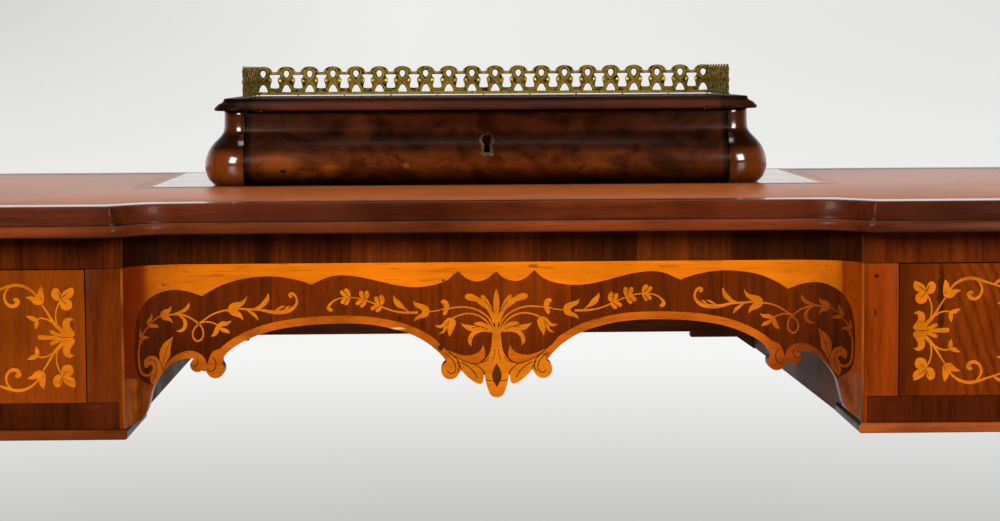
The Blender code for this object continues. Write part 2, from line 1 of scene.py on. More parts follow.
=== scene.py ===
import json
import math

import bmesh
import bpy
from mathutils import Matrix, Vector

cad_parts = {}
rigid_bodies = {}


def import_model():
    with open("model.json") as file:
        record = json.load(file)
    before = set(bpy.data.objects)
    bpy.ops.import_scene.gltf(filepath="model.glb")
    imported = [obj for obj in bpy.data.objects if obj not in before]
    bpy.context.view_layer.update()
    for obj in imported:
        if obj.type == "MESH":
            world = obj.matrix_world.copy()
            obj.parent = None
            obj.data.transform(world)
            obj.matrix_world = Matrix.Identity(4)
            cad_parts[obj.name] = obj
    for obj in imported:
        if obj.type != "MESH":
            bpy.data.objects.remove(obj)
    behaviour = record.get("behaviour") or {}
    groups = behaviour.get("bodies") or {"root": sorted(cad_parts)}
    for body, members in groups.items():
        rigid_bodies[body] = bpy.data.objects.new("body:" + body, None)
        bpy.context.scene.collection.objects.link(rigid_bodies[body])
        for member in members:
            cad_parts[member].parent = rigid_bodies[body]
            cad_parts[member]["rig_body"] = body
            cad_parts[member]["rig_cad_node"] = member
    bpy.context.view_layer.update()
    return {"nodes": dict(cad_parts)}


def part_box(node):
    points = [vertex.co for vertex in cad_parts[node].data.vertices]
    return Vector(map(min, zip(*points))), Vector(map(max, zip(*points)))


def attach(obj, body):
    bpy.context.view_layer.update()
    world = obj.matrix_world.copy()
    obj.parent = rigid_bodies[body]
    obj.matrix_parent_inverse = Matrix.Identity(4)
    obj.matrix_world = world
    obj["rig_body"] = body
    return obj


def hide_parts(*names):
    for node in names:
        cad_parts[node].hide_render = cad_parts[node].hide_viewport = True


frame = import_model()
bpy.context.scene.view_settings.view_transform = "Standard"
nodes = frame["nodes"]
mm = 0.001


# Small helpers for working in object and edit mode

def clearSelection():
    if bpy.context.object and bpy.context.object.mode != "OBJECT":
        bpy.ops.object.mode_set(mode="OBJECT")
    bpy.ops.object.select_all(action="DESELECT")


def pick(item):
    clearSelection()
    item.select_set(True)
    bpy.context.view_layer.objects.active = item
    return item


def editAll(item):
    pick(item)
    bpy.ops.object.mode_set(mode="EDIT")
    bpy.ops.mesh.select_mode(type="VERT")
    bpy.ops.mesh.select_all(action="SELECT")


def leaveEdit():
    bpy.ops.object.mode_set(mode="OBJECT")


def applyModifier(item, kind, **settings):
    pick(item)
    modifier = item.modifiers.new(kind.title(), kind)
    for key, value in settings.items():
        setattr(modifier, key, value)
    bpy.ops.object.modifier_apply(modifier=modifier.name)
    return item


def bakePlace(item):
    pick(item)
    bpy.ops.object.transform_apply(location=True, rotation=True, scale=True)
    return item


def copyOf(item):
    pick(item)
    bpy.ops.object.duplicate()
    return bpy.context.object


def mergeDoubles(item, threshold=0.000004):
    editAll(item)
    bpy.ops.mesh.remove_doubles(threshold=threshold)
    leaveEdit()
    return item


def pointOut(item):
    mergeDoubles(item)
    editAll(item)
    bpy.ops.mesh.normals_make_consistent(inside=False)
    leaveEdit()
    return item


def softEdges(item, width=0.0004, segments=2, angle=50):
    return applyModifier(
        item, "BEVEL", width=width, segments=segments, limit_method="ANGLE",
        angle_limit=math.radians(angle), use_clamp_overlap=True)


def cutAway(item, cutter):
    applyModifier(item, "BOOLEAN", operation="DIFFERENCE", object=cutter, solver="EXACT")
    bpy.data.objects.remove(cutter)
    return item


def joinAll(items):
    clearSelection()
    for item in items:
        item.select_set(True)
    bpy.context.view_layer.objects.active = items[0]
    bpy.ops.object.join()
    return items[0]


def handOver(item, name, material, replaced=(), smoothAngle=30, bodyName="table"):
    # every finished piece gets its name, finish and the body that it moves with
    bakePlace(item)
    item.name = name
    item.data.name = name
    item.data.materials.clear()
    item.data.materials.append(material)
    if smoothAngle:
        bpy.ops.object.shade_smooth_by_angle(angle=math.radians(smoothAngle))
    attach(item, bodyName)
    if replaced:
        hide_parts(*replaced)
    return item


def addBoard(low, high):
    middle = [(a + b) / 2 for a, b in zip(low, high)]
    size = [b - a for a, b in zip(low, high)]
    bpy.ops.mesh.primitive_cube_add(size=1, location=middle, scale=size)
    return bakePlace(bpy.context.object)


def growRings(rings, closeEnds=True):
    # a ring of points is extruded from place to place, and both ends are filled
    count = len(rings[0])
    bpy.ops.mesh.primitive_circle_add(vertices=count, radius=1, fill_type="NOTHING")
    item = bpy.context.object
    for vertex, point in zip(item.data.vertices, rings[0]):
        vertex.co = point
    editAll(item)
    order = {i: i for i in range(count)}
    if closeEnds:
        bpy.ops.mesh.edge_face_add()
    for ring in rings[1:]:
        bpy.ops.mesh.extrude_region()
        mesh = bmesh.from_edit_mesh(item.data)
        mesh.verts.index_update()
        mesh.verts.ensure_lookup_table()
        newOrder = {}
        for vertex in mesh.verts:
            if not vertex.select:
                continue
            for edge in vertex.link_edges:
                source = edge.other_vert(vertex)
                if not source.select and source.index in order:
                    newOrder[vertex.index] = order[source.index]
        for index, place in newOrder.items():
            mesh.verts[index].co = ring[place]
        order = newOrder
        bmesh.update_edit_mesh(item.data)
    bpy.ops.mesh.select_all(action="SELECT")
    bpy.ops.mesh.normals_make_consistent(inside=False)
    leaveEdit()
    return item


def smoothRun(points, steps=5):
    # a smooth run through the points, which may carry a width as a third value
    run = []
    last = len(points) - 1
    for i in range(last):
        a = points[max(i - 1, 0)]
        b = points[i]
        c = points[i + 1]
        d = points[min(i + 2, last)]
        for step in range(steps):
            t = step / steps
            spot = []
            for p, q, r, s in zip(a, b, c, d):
                bend = 2 * q + (r - p) * t + (2 * p - 5 * q + 4 * r - s) * t * t
                spot.append((bend + (3 * q - p - 3 * r + s) * t ** 3) / 2)
            run.append(tuple(spot))
    run.append(tuple(points[last]))
    return run


def arcRun(centre, radius, start, end, steps=14, radiusY=None):
    radiusY = radiusY or radius
    run = []
    for i in range(steps + 1):
        angle = math.radians(start + (end - start) * i / steps)
        run.append((centre[0] + radius * math.cos(angle), centre[1] + radiusY * math.sin(angle)))
    return run


def mirrorRun(points):
    # a right half from the outside inwards becomes the whole
    return points + [(-x, z) for x, z in reversed(points) if x > 0.01]


def toMetres(run):
    return [(x * mm, z * mm) for x, z in run]


def addCurve(kind=None):
    bpy.ops.curve.primitive_bezier_circle_add(radius=1)
    item = bpy.context.object
    item.data.splines.clear()
    if kind:
        item.data.dimensions = kind
    return item


def addSpline(curve, run, closed=False):
    spline = curve.splines.new("POLY")
    spline.points.add(len(run) - 1)
    for point, place in zip(spline.points, run):
        point.co = (*place, 0, 1) if len(place) == 2 else (*place, 1)
    spline.use_cyclic_u = closed
    return spline


def fillLoops(loops, thickness=0.0):
    # a flat filled curve in the XY plane, made a mesh
    item = addCurve("2D")
    item.data.fill_mode = "BOTH"
    item.data.extrude = thickness / 2
    for loop in loops:
        addSpline(item.data, loop, True)
    bpy.ops.object.convert(target="MESH")
    return mergeDoubles(bpy.context.object)


def raisePrism(loops, low, high):
    # closed outlines raised between two heights
    item = fillLoops(loops, high - low)
    item.data.transform(Matrix.Translation((0, 0, (low + high) / 2)))
    return pointOut(item)


def standUp(item, lowY, highY):
    # XY outline to the XZ plane, between two depths
    item.data.transform(Matrix(((1, 0, 0, 0), (0, 0, -1, (lowY + highY) / 2), (0, 1, 0, 0), (0, 0, 0, 1))))
    return pointOut(item)


# Finishes. Wood is streaked along one axis of the object, pored, mottled and French polished.

def addNode(tree, kind, inputs=None, **settings):
    made = tree.nodes.new(kind)
    for key, value in settings.items():
        setattr(made, key, value)
    for key, value in (inputs or {}).items():
        if isinstance(value, bpy.types.NodeSocket):
            tree.links.new(value, made.inputs[key])
        else:
            made.inputs[key].default_value = value
    return made


def startMaterial(name, **shaderInputs):
    material = bpy.data.materials.new(name)
    material.use_nodes = True
    tree = material.node_tree
    shader = tree.nodes["Principled BSDF"]
    for key, value in shaderInputs.items():
        shader.inputs[key.replace("_", " ")].default_value = value
    return material, tree, shader


def rampNode(tree, factor, stops):
    # each stop is a place with its colour, or with one number for a grey
    stops = [(place, colour if isinstance(colour, tuple) else (colour,) * 3) for place, colour in stops]
    ramp = addNode(tree, "ShaderNodeValToRGB", {"Fac": factor})
    elements = ramp.color_ramp.elements
    for element, (place, colour) in zip(elements, (stops[0], stops[-1])):
        element.position = place
        element.color = (*colour, 1.0)
    for place, colour in stops[1:-1]:
        elements.new(place).color = (*colour, 1.0)
    return ramp.outputs["Color"]


def mathNode(tree, operation, a, b=0.0):
    return addNode(tree, "ShaderNodeMath", {0: a, 1: b}, operation=operation).outputs[0]


def vectorNode(tree, operation, a, b=(0, 0, 0)):
    return addNode(tree, "ShaderNodeVectorMath", {0: a, 1: b}, operation=operation)


def objectPlace(tree):
    return addNode(tree, "ShaderNodeTexCoord").outputs["Object"]


def axisOf(tree, place, axis):
    return addNode(tree, "ShaderNodeSeparateXYZ", {0: place}).outputs[axis]


def noiseNode(tree, place, scale, detail, **inputs):
    return addNode(tree, "ShaderNodeTexNoise", {"Vector": place, "Scale": scale, "Detail": detail, **inputs})


def pushAbout(tree, place, noise, amount):
    # moves a place sideways by a noise, up to half the amount each way
    push = vectorNode(tree, "SUBTRACT", noise.outputs["Color"], (0.5, 0.5, 0.5)).outputs[0]
    push = vectorNode(tree, "MULTIPLY", push, (amount,) * 3).outputs[0]
    return vectorNode(tree, "ADD", place, push).outputs[0]


def mixNode(tree, blend, factor, a, b):
    made = addNode(tree, "ShaderNodeMix", data_type="RGBA", blend_type=blend)
    for socket, value in ((made.inputs[0], factor), (made.inputs[6], a), (made.inputs[7], b)):
        if isinstance(value, bpy.types.NodeSocket):
            tree.links.new(value, socket)
        else:
            socket.default_value = (*value, 1.0) if isinstance(value, tuple) else value
    return made.outputs[2]


def scaled(colour, factor):
    return tuple(channel * factor for channel in colour)


def finishSurface(tree, shader, tone, relief, strength, distance=0.0004):
    tree.links.new(tone, shader.inputs["Base Color"])
    bump = addNode(tree, "ShaderNodeBump", {"Height": relief, "Strength": strength, "Distance": distance})
    tree.links.new(bump.outputs["Normal"], shader.inputs["Normal"])


def shadeAlong(tree, coords, tone, axis, stops):
    # colour changed along one axis, mostly painted light and shade, for a few finishes a change of tone
    # between pieces: places in metres with the share of the colour kept there
    low, high = stops[0][0], stops[-1][0]
    span = addNode(tree, "ShaderNodeMapRange", {
        "Value": axisOf(tree, coords, axis), "From Min": low, "From Max": high}).outputs["Result"]
    shares = rampNode(tree, span, [((place - low) / (high - low), share) for place, share in stops])
    return mixNode(tree, "MULTIPLY", 1.0, tone, shares)


def addMark(tree, coords, tone, mark):
    # a knot, stain or patch of figure with a ragged edge, or a band of colour holding a painted sheen: place
    # and half sizes in the XZ plane
    x, z, halfX, halfZ, colour, ragged = mark
    moved = pushAbout(tree, coords, noiseNode(tree, coords, 110.0, 3.0), ragged)
    flat = addNode(tree, "ShaderNodeMapping", {
        "Vector": moved, "Location": (-x / halfX, 0, -z / halfZ), "Scale": (1 / halfX, 0, 1 / halfZ)})
    reach = vectorNode(tree, "LENGTH", flat.outputs["Vector"]).outputs["Value"]
    softStart = 0.70 if halfX < 0.006 else 0.40
    cover = rampNode(tree, reach, ((softStart, 0.9), (1.05, 0)))
    return mixNode(tree, "MIX", cover, tone, colour)


def addStripes(tree, place, coords, tone, stripes):
    # slanting dark stripes of figure that set in along X
    angle, spacing, share, start, full = stripes
    turned = addNode(tree, "ShaderNodeMapping", {"Vector": place, "Rotation": (0, math.radians(angle), 0)})
    bands = addNode(tree, "ShaderNodeTexWave", {
        "Vector": turned.outputs["Vector"], "Scale": 0.314 / spacing, "Distortion": 5.0, "Detail": 2.0,
        "Detail Scale": 0.8})
    dark = rampNode(tree, bands.outputs["Fac"], ((0.0, 0.30), (0.35, 0.85), (0.6, 1.15)))
    amount = addNode(tree, "ShaderNodeMapRange", {
        "Value": axisOf(tree, coords, "X"), "From Min": start, "From Max": full, "To Max": share})
    return mixNode(tree, "MULTIPLY", amount.outputs["Result"], tone, dark)


grainStretch = {"X": (0.07, 1, 1), "Y": (1, 0.07, 1), "Z": (1, 1, 0.07)}


def woodMaterial(name, colour, grain="X", dark=0.45, light=1.35, streaks=220, mottle=14, patch=0.25,
                 wave=0.0,
                 roughness=0.38, coat=0.0, bump=0.12, segments=None, seed=0.0, spec=0.03, shades=(),
                 marks=(),
                 stripes=None):
    material, tree, shader = startMaterial(
        name, Roughness=roughness, Coat_Weight=coat, Coat_Roughness=0.12, Specular_IOR_Level=spec)
    coords = objectPlace(tree)
    moved = addNode(tree, "ShaderNodeMapping", {"Vector": coords, "Location": (seed, seed * 0.7,
            seed * 1.3)})
    place = moved.outputs["Vector"]
    if wave:
        # wavy figure: the grain is pushed sideways by a slow noise
        place = pushAbout(tree, place, noiseNode(tree, place, 16.0, 1.0), wave)
    along = addNode(tree, "ShaderNodeMapping",
                    {"Vector": place, "Scale": grainStretch[grain]}).outputs["Vector"]
    streak = noiseNode(tree, along, streaks, 6.0, Roughness=0.62).outputs["Fac"]
    wide = noiseNode(tree, along, streaks * 0.22, 3.0, Roughness=0.5).outputs["Fac"]
    both = mathNode(tree, "ADD", mathNode(tree, "MULTIPLY", streak, 0.55),
                    mathNode(tree, "MULTIPLY", wide, 0.45))
    tone = rampNode(tree, both, ((0.34, scaled(colour, dark)), (0.50, colour),
                                 (0.66, scaled(colour, light))))
    patches = noiseNode(tree, place, mottle, 3.0).outputs["Fac"]
    patchTone = rampNode(tree, patches, ((0.30, 1 - patch), (0.52, 1), (0.74, 1 + patch * 0.6)))
    tone = mixNode(tree, "MULTIPLY", 1.0, tone, patchTone)
    if stripes:
        tone = addStripes(tree, place, coords, tone, stripes)
    for mark in marks:
        tone = addMark(tree, coords, tone, mark)
    for axis, stops in shades:
        tone = shadeAlong(tree, coords, tone, axis, stops)
    pores = noiseNode(tree, along, streaks * 5.0, 2.0, Roughness=0.5).outputs["Fac"]
    poreTone = rampNode(tree, pores, ((0.30, (0.45, 0.42, 0.40)), (0.42, 1)))
    tone = mixNode(tree, "MULTIPLY", 0.55, tone, poreTone)
    if segments:
        # veneer laid in short pieces side by side, each of its own tone, with a thin joint
        shifted = mathNode(tree, "ADD", axisOf(tree, coords, "X"), 5.0 + seed)
        count = mathNode(tree, "DIVIDE", shifted, segments)
        cell = mathNode(tree, "FLOOR", count)
        shade = addNode(tree, "ShaderNodeTexWhiteNoise", {"W": cell}, noise_dimensions="1D").outputs["Value"]
        cellTone = rampNode(tree, shade, ((0.0, (0.62, 0.60, 0.58)), (0.5, 1), (1.0, (1.45, 1.4, 1.3))))
        tone = mixNode(tree, "MULTIPLY", 1.0, tone, cellTone)
        joint = rampNode(tree, mathNode(tree, "FRACT", count), ((0.0, (0.25, 0.22, 0.2)), (0.012, 1)))
        tone = mixNode(tree, "MULTIPLY", 1.0, tone, joint)
    rough = rampNode(tree, patches, ((0.3, roughness * 0.8), (0.7, min(roughness * 1.25, 1))))
    tree.links.new(rough, shader.inputs["Roughness"])
    finishSurface(tree, shader, tone, pores, bump)
    return material


def leatherMaterial(name, colour):
    material, tree, shader = startMaterial(name, Roughness=0.29, Specular_IOR_Level=0.56)
    coords = objectPlace(tree)
    slow = noiseNode(tree, coords, 7.0, 4.0).outputs["Fac"]
    fine = noiseNode(tree, coords, 90.0, 3.0).outputs["Fac"]
    tone = rampNode(tree, slow, ((0.32, scaled(colour, 0.78)), (0.52, colour), (0.72, scaled(colour, 1.18))))
    wear = rampNode(tree, fine, ((0.35, (0.86, 0.84, 0.82)), (0.6, 1.05)))
    tone = mixNode(tree, "MULTIPLY", 1.0, tone, wear)
    grain = addNode(tree, "ShaderNodeTexVoronoi", {"Vector": coords, "Scale": 1100.0})
    creases = noiseNode(tree, coords, 260.0, 3.0)
    relief = mathNode(tree, "ADD", grain.outputs["Distance"], creases.outputs["Fac"])
    finishSurface(tree, shader, tone, relief, 0.28, 0.0005)
    return material


def metalMaterial(name, colour, patina, roughness, scale=160.0):
    material, tree, shader = startMaterial(name, Metallic=1.0, Roughness=roughness)
    spots = noiseNode(tree, objectPlace(tree), scale, 5.0).outputs["Fac"]
    tone = rampNode(tree, spots, ((0.33, patina), (0.50, scaled(colour, 0.8)), (0.62, colour)))
    rough = rampNode(tree, spots, ((0.35, min(roughness * 1.9, 1)), (0.62, roughness)))
    tree.links.new(rough, shader.inputs["Roughness"])
    finishSurface(tree, shader, tone, spots, 0.25)
    return material


paleFigure = (0.150, 0.032, 0.0026)
# painted shade: the satinwood darkens to red down the ends of the cove, turned from the lamps, and a little
# along the flat to the left; on the right the change falls at a joint, with a darker piece beyond it
satinCoveShade = (
    (-0.278, (0.20, 0.09, 0.3)), (-0.2675, (0.24, 0.12, 0.3)), (-0.2645, (0.36, 0.22, 0.5)),
    (-0.2610, (0.75, 0.62, 0.7)),
    (-0.2550, 0.85), (-0.19, 0.86), (-0.09, 1.08), (0.05, 1.08), (0.2605, 0.95),
    (0.2655, (0.70, 0.62, 0.7)), (0.2662, (0.26, 0.14, 0.3)), (0.2685, (0.40, 0.27, 0.4)),
    (0.278, (0.40, 0.25, 0.3)))
# painted shade: the inlay darkens towards both ends of the apron, in the coves and on the right where the
# apron lies in shadow; full colour again beyond, on the drawers
inlayEndShade = (
    (-0.286, 1), (-0.279, (0.45, 0.28, 0.5)), (-0.262, (0.62, 0.46, 0.6)), (-0.240, 1), (0.198, 1),
    (0.224, (0.58, 0.46, 0.8)), (0.262, (0.40, 0.26, 0.5)), (0.279, (0.36, 0.20, 0.4)), (0.286, 1))
# painted light and shade down the edge moulding's profile: dark under the bead, the bead lit, a line of
# shadow in the quirk above it, the hollow duller
edgeProfileShade = (
    (0.7373, 0.7), (0.7385, (1.5, 1.45, 1.3)), (0.7450, (1.6, 1.5, 1.2)), (0.7462, 0.30), (0.7472, 0.74),
    (0.7545, (0.84, 0.74, 0.7)), (0.7590, (0.92, 0.86, 0.8)), (0.7600, 0.95))
# painted shade along the front edge: darker left of the middle and towards the right end
edgeLengthShade = (
    (-0.62, 1), (-0.33, 0.95), (-0.24, 0.62), (-0.144, 0.45), (-0.06, 0.6), (0.02, 0.8),
    (0.111, 1), (0.25, 0.7), (0.328, 0.50), (0.62, 0.50))
bandFade = (
    (-0.28, 0.55), (-0.1705, 0.68), (-0.1695, (1.5, 1.4, 1.2)), (0.049, (1.4, 1.3, 1.2)), (0.0515, 1.15),
    (0.17, 1), (0.21, 0.75), (0.28, 0.7))
woodLooks = {
    "crossbandVeneer": dict(
        colour=(0.060, 0.0108, 0.0011), grain="Z", segments=0.073, patch=0.45, light=1.8,
        shades=(("X", bandFade),)),
    "railVeneer": dict(
        colour=(0.080, 0.0128, 0.0012), grain="Z", segments=0.093, patch=0.4, light=1.6, seed=1.7),
    "lowRailLeft": dict(
        colour=(0.054, 0.0086, 0.0010), grain="Z", patch=0.4, seed=2.7,
        marks=((-0.2992, 0.6090, 0.0056, 0.0020, (0.085, 0.013, 0.006), 0.004),)),
    "lowRailRight": dict(colour=(0.062, 0.0092, 0.0010), grain="Z", patch=0.4, seed=3.9),
    "fieldVeneer": dict(
        colour=(0.124, 0.0185, 0.0007), grain="Z", dark=0.55, light=1.3, segments=0.115, patch=0.2,
        # darker towards the right end, painted shade there, and darker along the lower edge near the pendant
        shades=(("X", ((-0.28, 1), (0.12, 1), (0.19, 0.82), (0.28, 0.78))),
                ("Z", ((0.61, 0.58), (0.645, 0.62), (0.672, 0.94), (0.70, 1)))),
        marks=((-0.0713, 0.6703, 0.0015, 0.0013, (0.03, 0.006, 0.001), 0.002),)),
    "almondVeneer": dict(colour=(0.080, 0.017, 0.002), grain="Z", dark=0.7, light=1.3),
    "satinwood": dict(
        colour=(0.66, 0.148, 0.0020), grain="X", dark=0.80, light=1.12, streaks=120, patch=0.16,
        bump=0.05, shades=(("X", satinCoveShade),),
        marks=((0.0307, 0.7096, 0.0046, 0.0014, (0.30, 0.060, 0.003), 0.005),
               (-0.0378, 0.6988, 0.0017, 0.0012, (0.12, 0.022, 0.001), 0.002),
               (-0.2507, 0.6976, 0.0012, 0.0011, (0.20, 0.040, 0.002), 0.001))),
    "inlayWood": dict(
        colour=(0.56, 0.140, 0.0034), grain="X", dark=0.72, light=1.15, streaks=260, patch=0.2,
        bump=0.05, mottle=40, shades=(("X", inlayEndShade),)),
    "borderWood": dict(
        colour=(0.44, 0.088, 0.0030), grain="X", dark=0.68, light=1.25, streaks=240, patch=0.35,
        bump=0.06, mottle=30,
        # painted shade towards the ends, as on the inlay, and low down over the pendant and scrolls
        shades=(("X", inlayEndShade), ("Z", ((0.608, 0.72), (0.632, 0.80), (0.650, 1), (0.72, 1)))),
        marks=((-0.0732, 0.6624, 0.0075, 0.0012, (0.80, 0.45, 0.18), 0.002),
               (-0.0405, 0.6471, 0.0024, 0.0025, (0.020, 0.006, 0.001), 0.003))),
    "incisedLines": dict(colour=(0.045, 0.010, 0.002), grain="X", roughness=0.6, spec=0.0),
    "footVeneer": dict(
        colour=(0.28, 0.056, 0.004), grain="Z", patch=0.5, mottle=70, seed=3.1, spec=0.06,
        roughness=0.30,
        # a painted sheen across the right foot, its blue raised, and darker at the outer edge on the left
        shades=(("X", ((-0.278, (0.6, 0.6, 0.9)), (-0.272, 1), (0.250, 1), (0.260, (0.75, 0.8, 2.6)),
                       (0.278, (0.65, 0.8, 3.2)))),)),
    "filletWood": dict(
        colour=(0.20, 0.043, 0.0040), grain="Z", patch=0.6, mottle=30, seed=4.2,
        shades=(("Z", ((0.592, 1), (0.7122, 1), (0.7134, 0.30), (0.737, 0.25))),)),
    "cutEdges": dict(colour=(0.060, 0.0260, 0.0160), grain="X", roughness=0.42, spec=0.5),
    "stileWoodLeft": dict(colour=(0.112, 0.0178, 0.0010), grain="Z", patch=0.3, seed=0.4),
    "stileWoodRight": dict(
        colour=(0.205, 0.0275, 0.0010), grain="Z", patch=0.25, seed=0.9,
        marks=((0.2885, 0.7036, 0.0021, 0.0019, (0.022, 0.006, 0.001), 0.004),
               (0.2873, 0.6756, 0.0010, 0.0042, (0.030, 0.007, 0.001), 0.004))),
    "drawerVeneerLeft": dict(
        colour=(0.190, 0.0325, 0.0012), grain="Z", dark=0.72, light=1.2, streaks=150, wave=0.01,
        patch=0.25),
    "drawerVeneerRight": dict(
        colour=(0.145, 0.0215, 0.0009), grain="Z", dark=0.5, light=1.35, streaks=120, wave=0.012,
        patch=0.3, seed=2.2, stripes=(22, 0.0082, 0.42, 0.336, 0.356),
        marks=((0.3372, 0.6850, 0.0026, 0.0330, (0.040, 0.009, 0.001), 0.006),),
        shades=(("X", ((0.304, 0.5), (0.318, 0.65), (0.334, 1), (0.36, 1))),)),
    "mouldingWood": dict(
        colour=(0.118, 0.0210, 0.0034), grain="X", patch=0.4, streaks=150, coat=0.03, roughness=0.36,
        spec=0.08, bump=0.5, shades=(("Z", edgeProfileShade), ("X", edgeLengthShade)),
        # the bead's colour along each side of the front edge; the bluer right band holds a painted sheen
        marks=((-0.45, 0.7418, 0.19, 0.0040, (0.150, 0.0270, 0.003), 0.0),
               (0.47, 0.7418, 0.19, 0.0040, (0.190, 0.055, 0.030), 0.0))),
    "mouldingWoodSide": dict(
        colour=(0.090, 0.0180, 0.0042), grain="Y", patch=0.4, streaks=150, coat=0.05, roughness=0.36,
        spec=0.12, bump=0.5, shades=(("Z", edgeProfileShade),)),
    "beadWood": dict(
        colour=(0.170, 0.031, 0.004), grain="X", patch=0.5, coat=0.07, roughness=0.26, spec=0.08,
        bump=0.5,
        # painted light: the bead darker on the left, lit and with a painted sheen on the right
        shades=(("X", ((-0.56, 0.72), (-0.27, 0.72), (0.27, (1.8, 2.0, 2.4)), (0.56, (1.8, 2.0, 2.4)))),)),
    # painted shade: the return of the bead, the same wood turned away from the light, coloured almost black
    "beadReturnShadedWood": dict(colour=(0.020, 0.0095, 0.0065), grain="Y", patch=0.4, spec=0.35, roughness=0.5),
    "topVeneer": dict(
        colour=(0.15, 0.032, 0.007), grain="X", patch=0.3, streaks=120, roughness=0.2, coat=0.6,
        bump=0.04, spec=0.3),
    "caseVeneer": dict(
        colour=(0.056, 0.0112, 0.0014), grain="X", dark=0.5, light=1.6, streaks=80, wave=0.05,
        patch=0.55, mottle=60, coat=0.02, roughness=0.34, spec=0.03,
        marks=((-0.1120, 0.8060, 0.0160, 0.0170, (0.095, 0.022, 0.003), 0.020),
               (-0.1800, 0.7780, 0.0245, 0.0125, paleFigure, 0.013), (-0.1560, 0.7700, 0.0130, 0.0050,
                       paleFigure, 0.009), (-0.1365, 0.7730, 0.0105, 0.0085, paleFigure, 0.009),
                       (-0.1768, 0.7727, 0.0032, 0.0019, (0.008, 0.003, 0.001), 0.003),
                       (-0.0699, 0.7780, 0.0032, 0.0028, (0.12, 0.030, 0.004), 0.005),
                       (0.0900, 0.7740, 0.0300, 0.0050, (0.090, 0.022, 0.003), 0.02)),
        # painted light and shade: dark at the tuck of the foot and in the shadow under the cornice, lit on
        # the belly of the swell, a bluish painted reflection across the hollow above it, painted shadow at
        # both ends beside the corner blocks
        shades=(("Z", ((0.7605, 0.10), (0.7655, 0.18), (0.7720, 0.6), (0.7770, 1.35), (0.7860, 1.2),
                       (0.7920, (0.50, 0.65, 1.5)), (0.8040, (0.38, 0.50, 1.2)), (0.8085, 0.72),
                       (0.8210, 0.64), (0.8240, 0.3))),
                ("X", ((-0.2101, 0.10), (-0.2070, 0.18), (-0.2030, 0.9), (0.2040, 0.9), (0.2070, 0.25),
                       (0.2101, 0.12))))),
    "caseSideVeneer": dict(
        colour=(0.07, 0.016, 0.004), grain="Y", patch=0.4, streaks=90, coat=0.3, spec=0.2),
    "cornerBlockWood": dict(
        colour=(0.190, 0.041, 0.0040), grain="Z", dark=0.6, light=1.2, patch=0.35, roughness=0.15,
        coat=0.7, bump=0.04, spec=0.3,
        # painted shade: a dark band in the hollow of the neck, darker at the foot and top, and darker
        # towards the drawer front
        shades=(("Z", ((0.7603, 0.45), (0.7660, 0.9), (0.7860, 1), (0.7900, 0.60), (0.7930, 0.16),
                       (0.8030, 0.13), (0.8085, 0.6), (0.8200, 0.6), (0.8245, 0.3))),
                ("X", ((-0.2475, 1.1), (-0.235, 1), (-0.222, 0.7), (-0.2109, 0.5), (0.2109, 0.28),
                       (0.222, 0.45), (0.236, 0.85), (0.2475, 0.9))))),
    "corniceWood": dict(
        colour=(0.040, 0.0088, 0.0016), grain="X", patch=0.5, streaks=120, roughness=0.40,
        # painted light on the lower round of the nosing, darker below it and on the hollow above; darker at
        # both ends
        shades=(("Z", ((0.8248, 0.5), (0.8262, (1.6, 1.25, 1.0)), (0.8305, (1.3, 1.1, 1.0)), (0.8325, 0.6),
                       (0.8357, 0.5))),
                ("X", ((-0.2385, 0.4), (-0.2040, 0.4), (-0.2030, 1), (0.2030, 1), (0.2040, 0.4),
                       (0.2385, 0.4))))),
    "carcaseWalnut": dict(
        colour=(0.075, 0.0175, 0.0045), grain="Y", patch=0.35, streaks=120, spec=0.05, roughness=0.5),
    # pale and greyish: the colour holds part of a painted sheen on the linings, seen at a glancing angle
    "kneeholePanels": dict(
        colour=(0.100, 0.0420, 0.0240), grain="Y", patch=0.4, streaks=60, spec=0.08, roughness=0.6),
    "legWalnut": dict(colour=(0.13, 0.029, 0.007), grain="Z", patch=0.35, streaks=120, coat=0.3, spec=0.3),
    "drawerLining": dict(
        colour=(0.42, 0.235, 0.105), grain="Y", dark=0.72, light=1.12, streaks=130, roughness=0.62,
        spec=0.2),
    "backRailWood": dict(colour=(0.115, 0.0290, 0.0110), grain="X", patch=0.4, roughness=0.45),
}
wood = {name: woodMaterial(name, **look) for name, look in woodLooks.items()}
leather = leatherMaterial("tanLeather", (0.360, 0.082, 0.0080))
blindTool = leatherMaterial("toolingLines", (0.10, 0.026, 0.010))
brass = metalMaterial("agedBrass", (0.62, 0.41, 0.085), (0.09, 0.055, 0.012), 0.34, scale=300.0)
# dark patinated brass of the fret plates; on the side runs it also darkens the strands, as painted shade
patinaShadeBrass = metalMaterial("brassPatinaAndShade", (0.225, 0.150, 0.020), (0.028, 0.019, 0.006), 0.48, scale=260.0)
lockBrass = metalMaterial("lockBrass", (0.16, 0.10, 0.04), (0.05, 0.03, 0.012), 0.45)
keyholeBrass = metalMaterial("darkBrass", (0.120, 0.062, 0.028), (0.035, 0.017, 0.009), 0.42)
print("finishes ready")


# Camera of the photograph: a long lens, a little above the top

view = {
    "place": (-0.031, -2.0424, 0.8596), "yaw": 1.169, "pitch": 4.63, "roll": -0.331, "lens": 84.87,
    "sensor": 36.0,
}


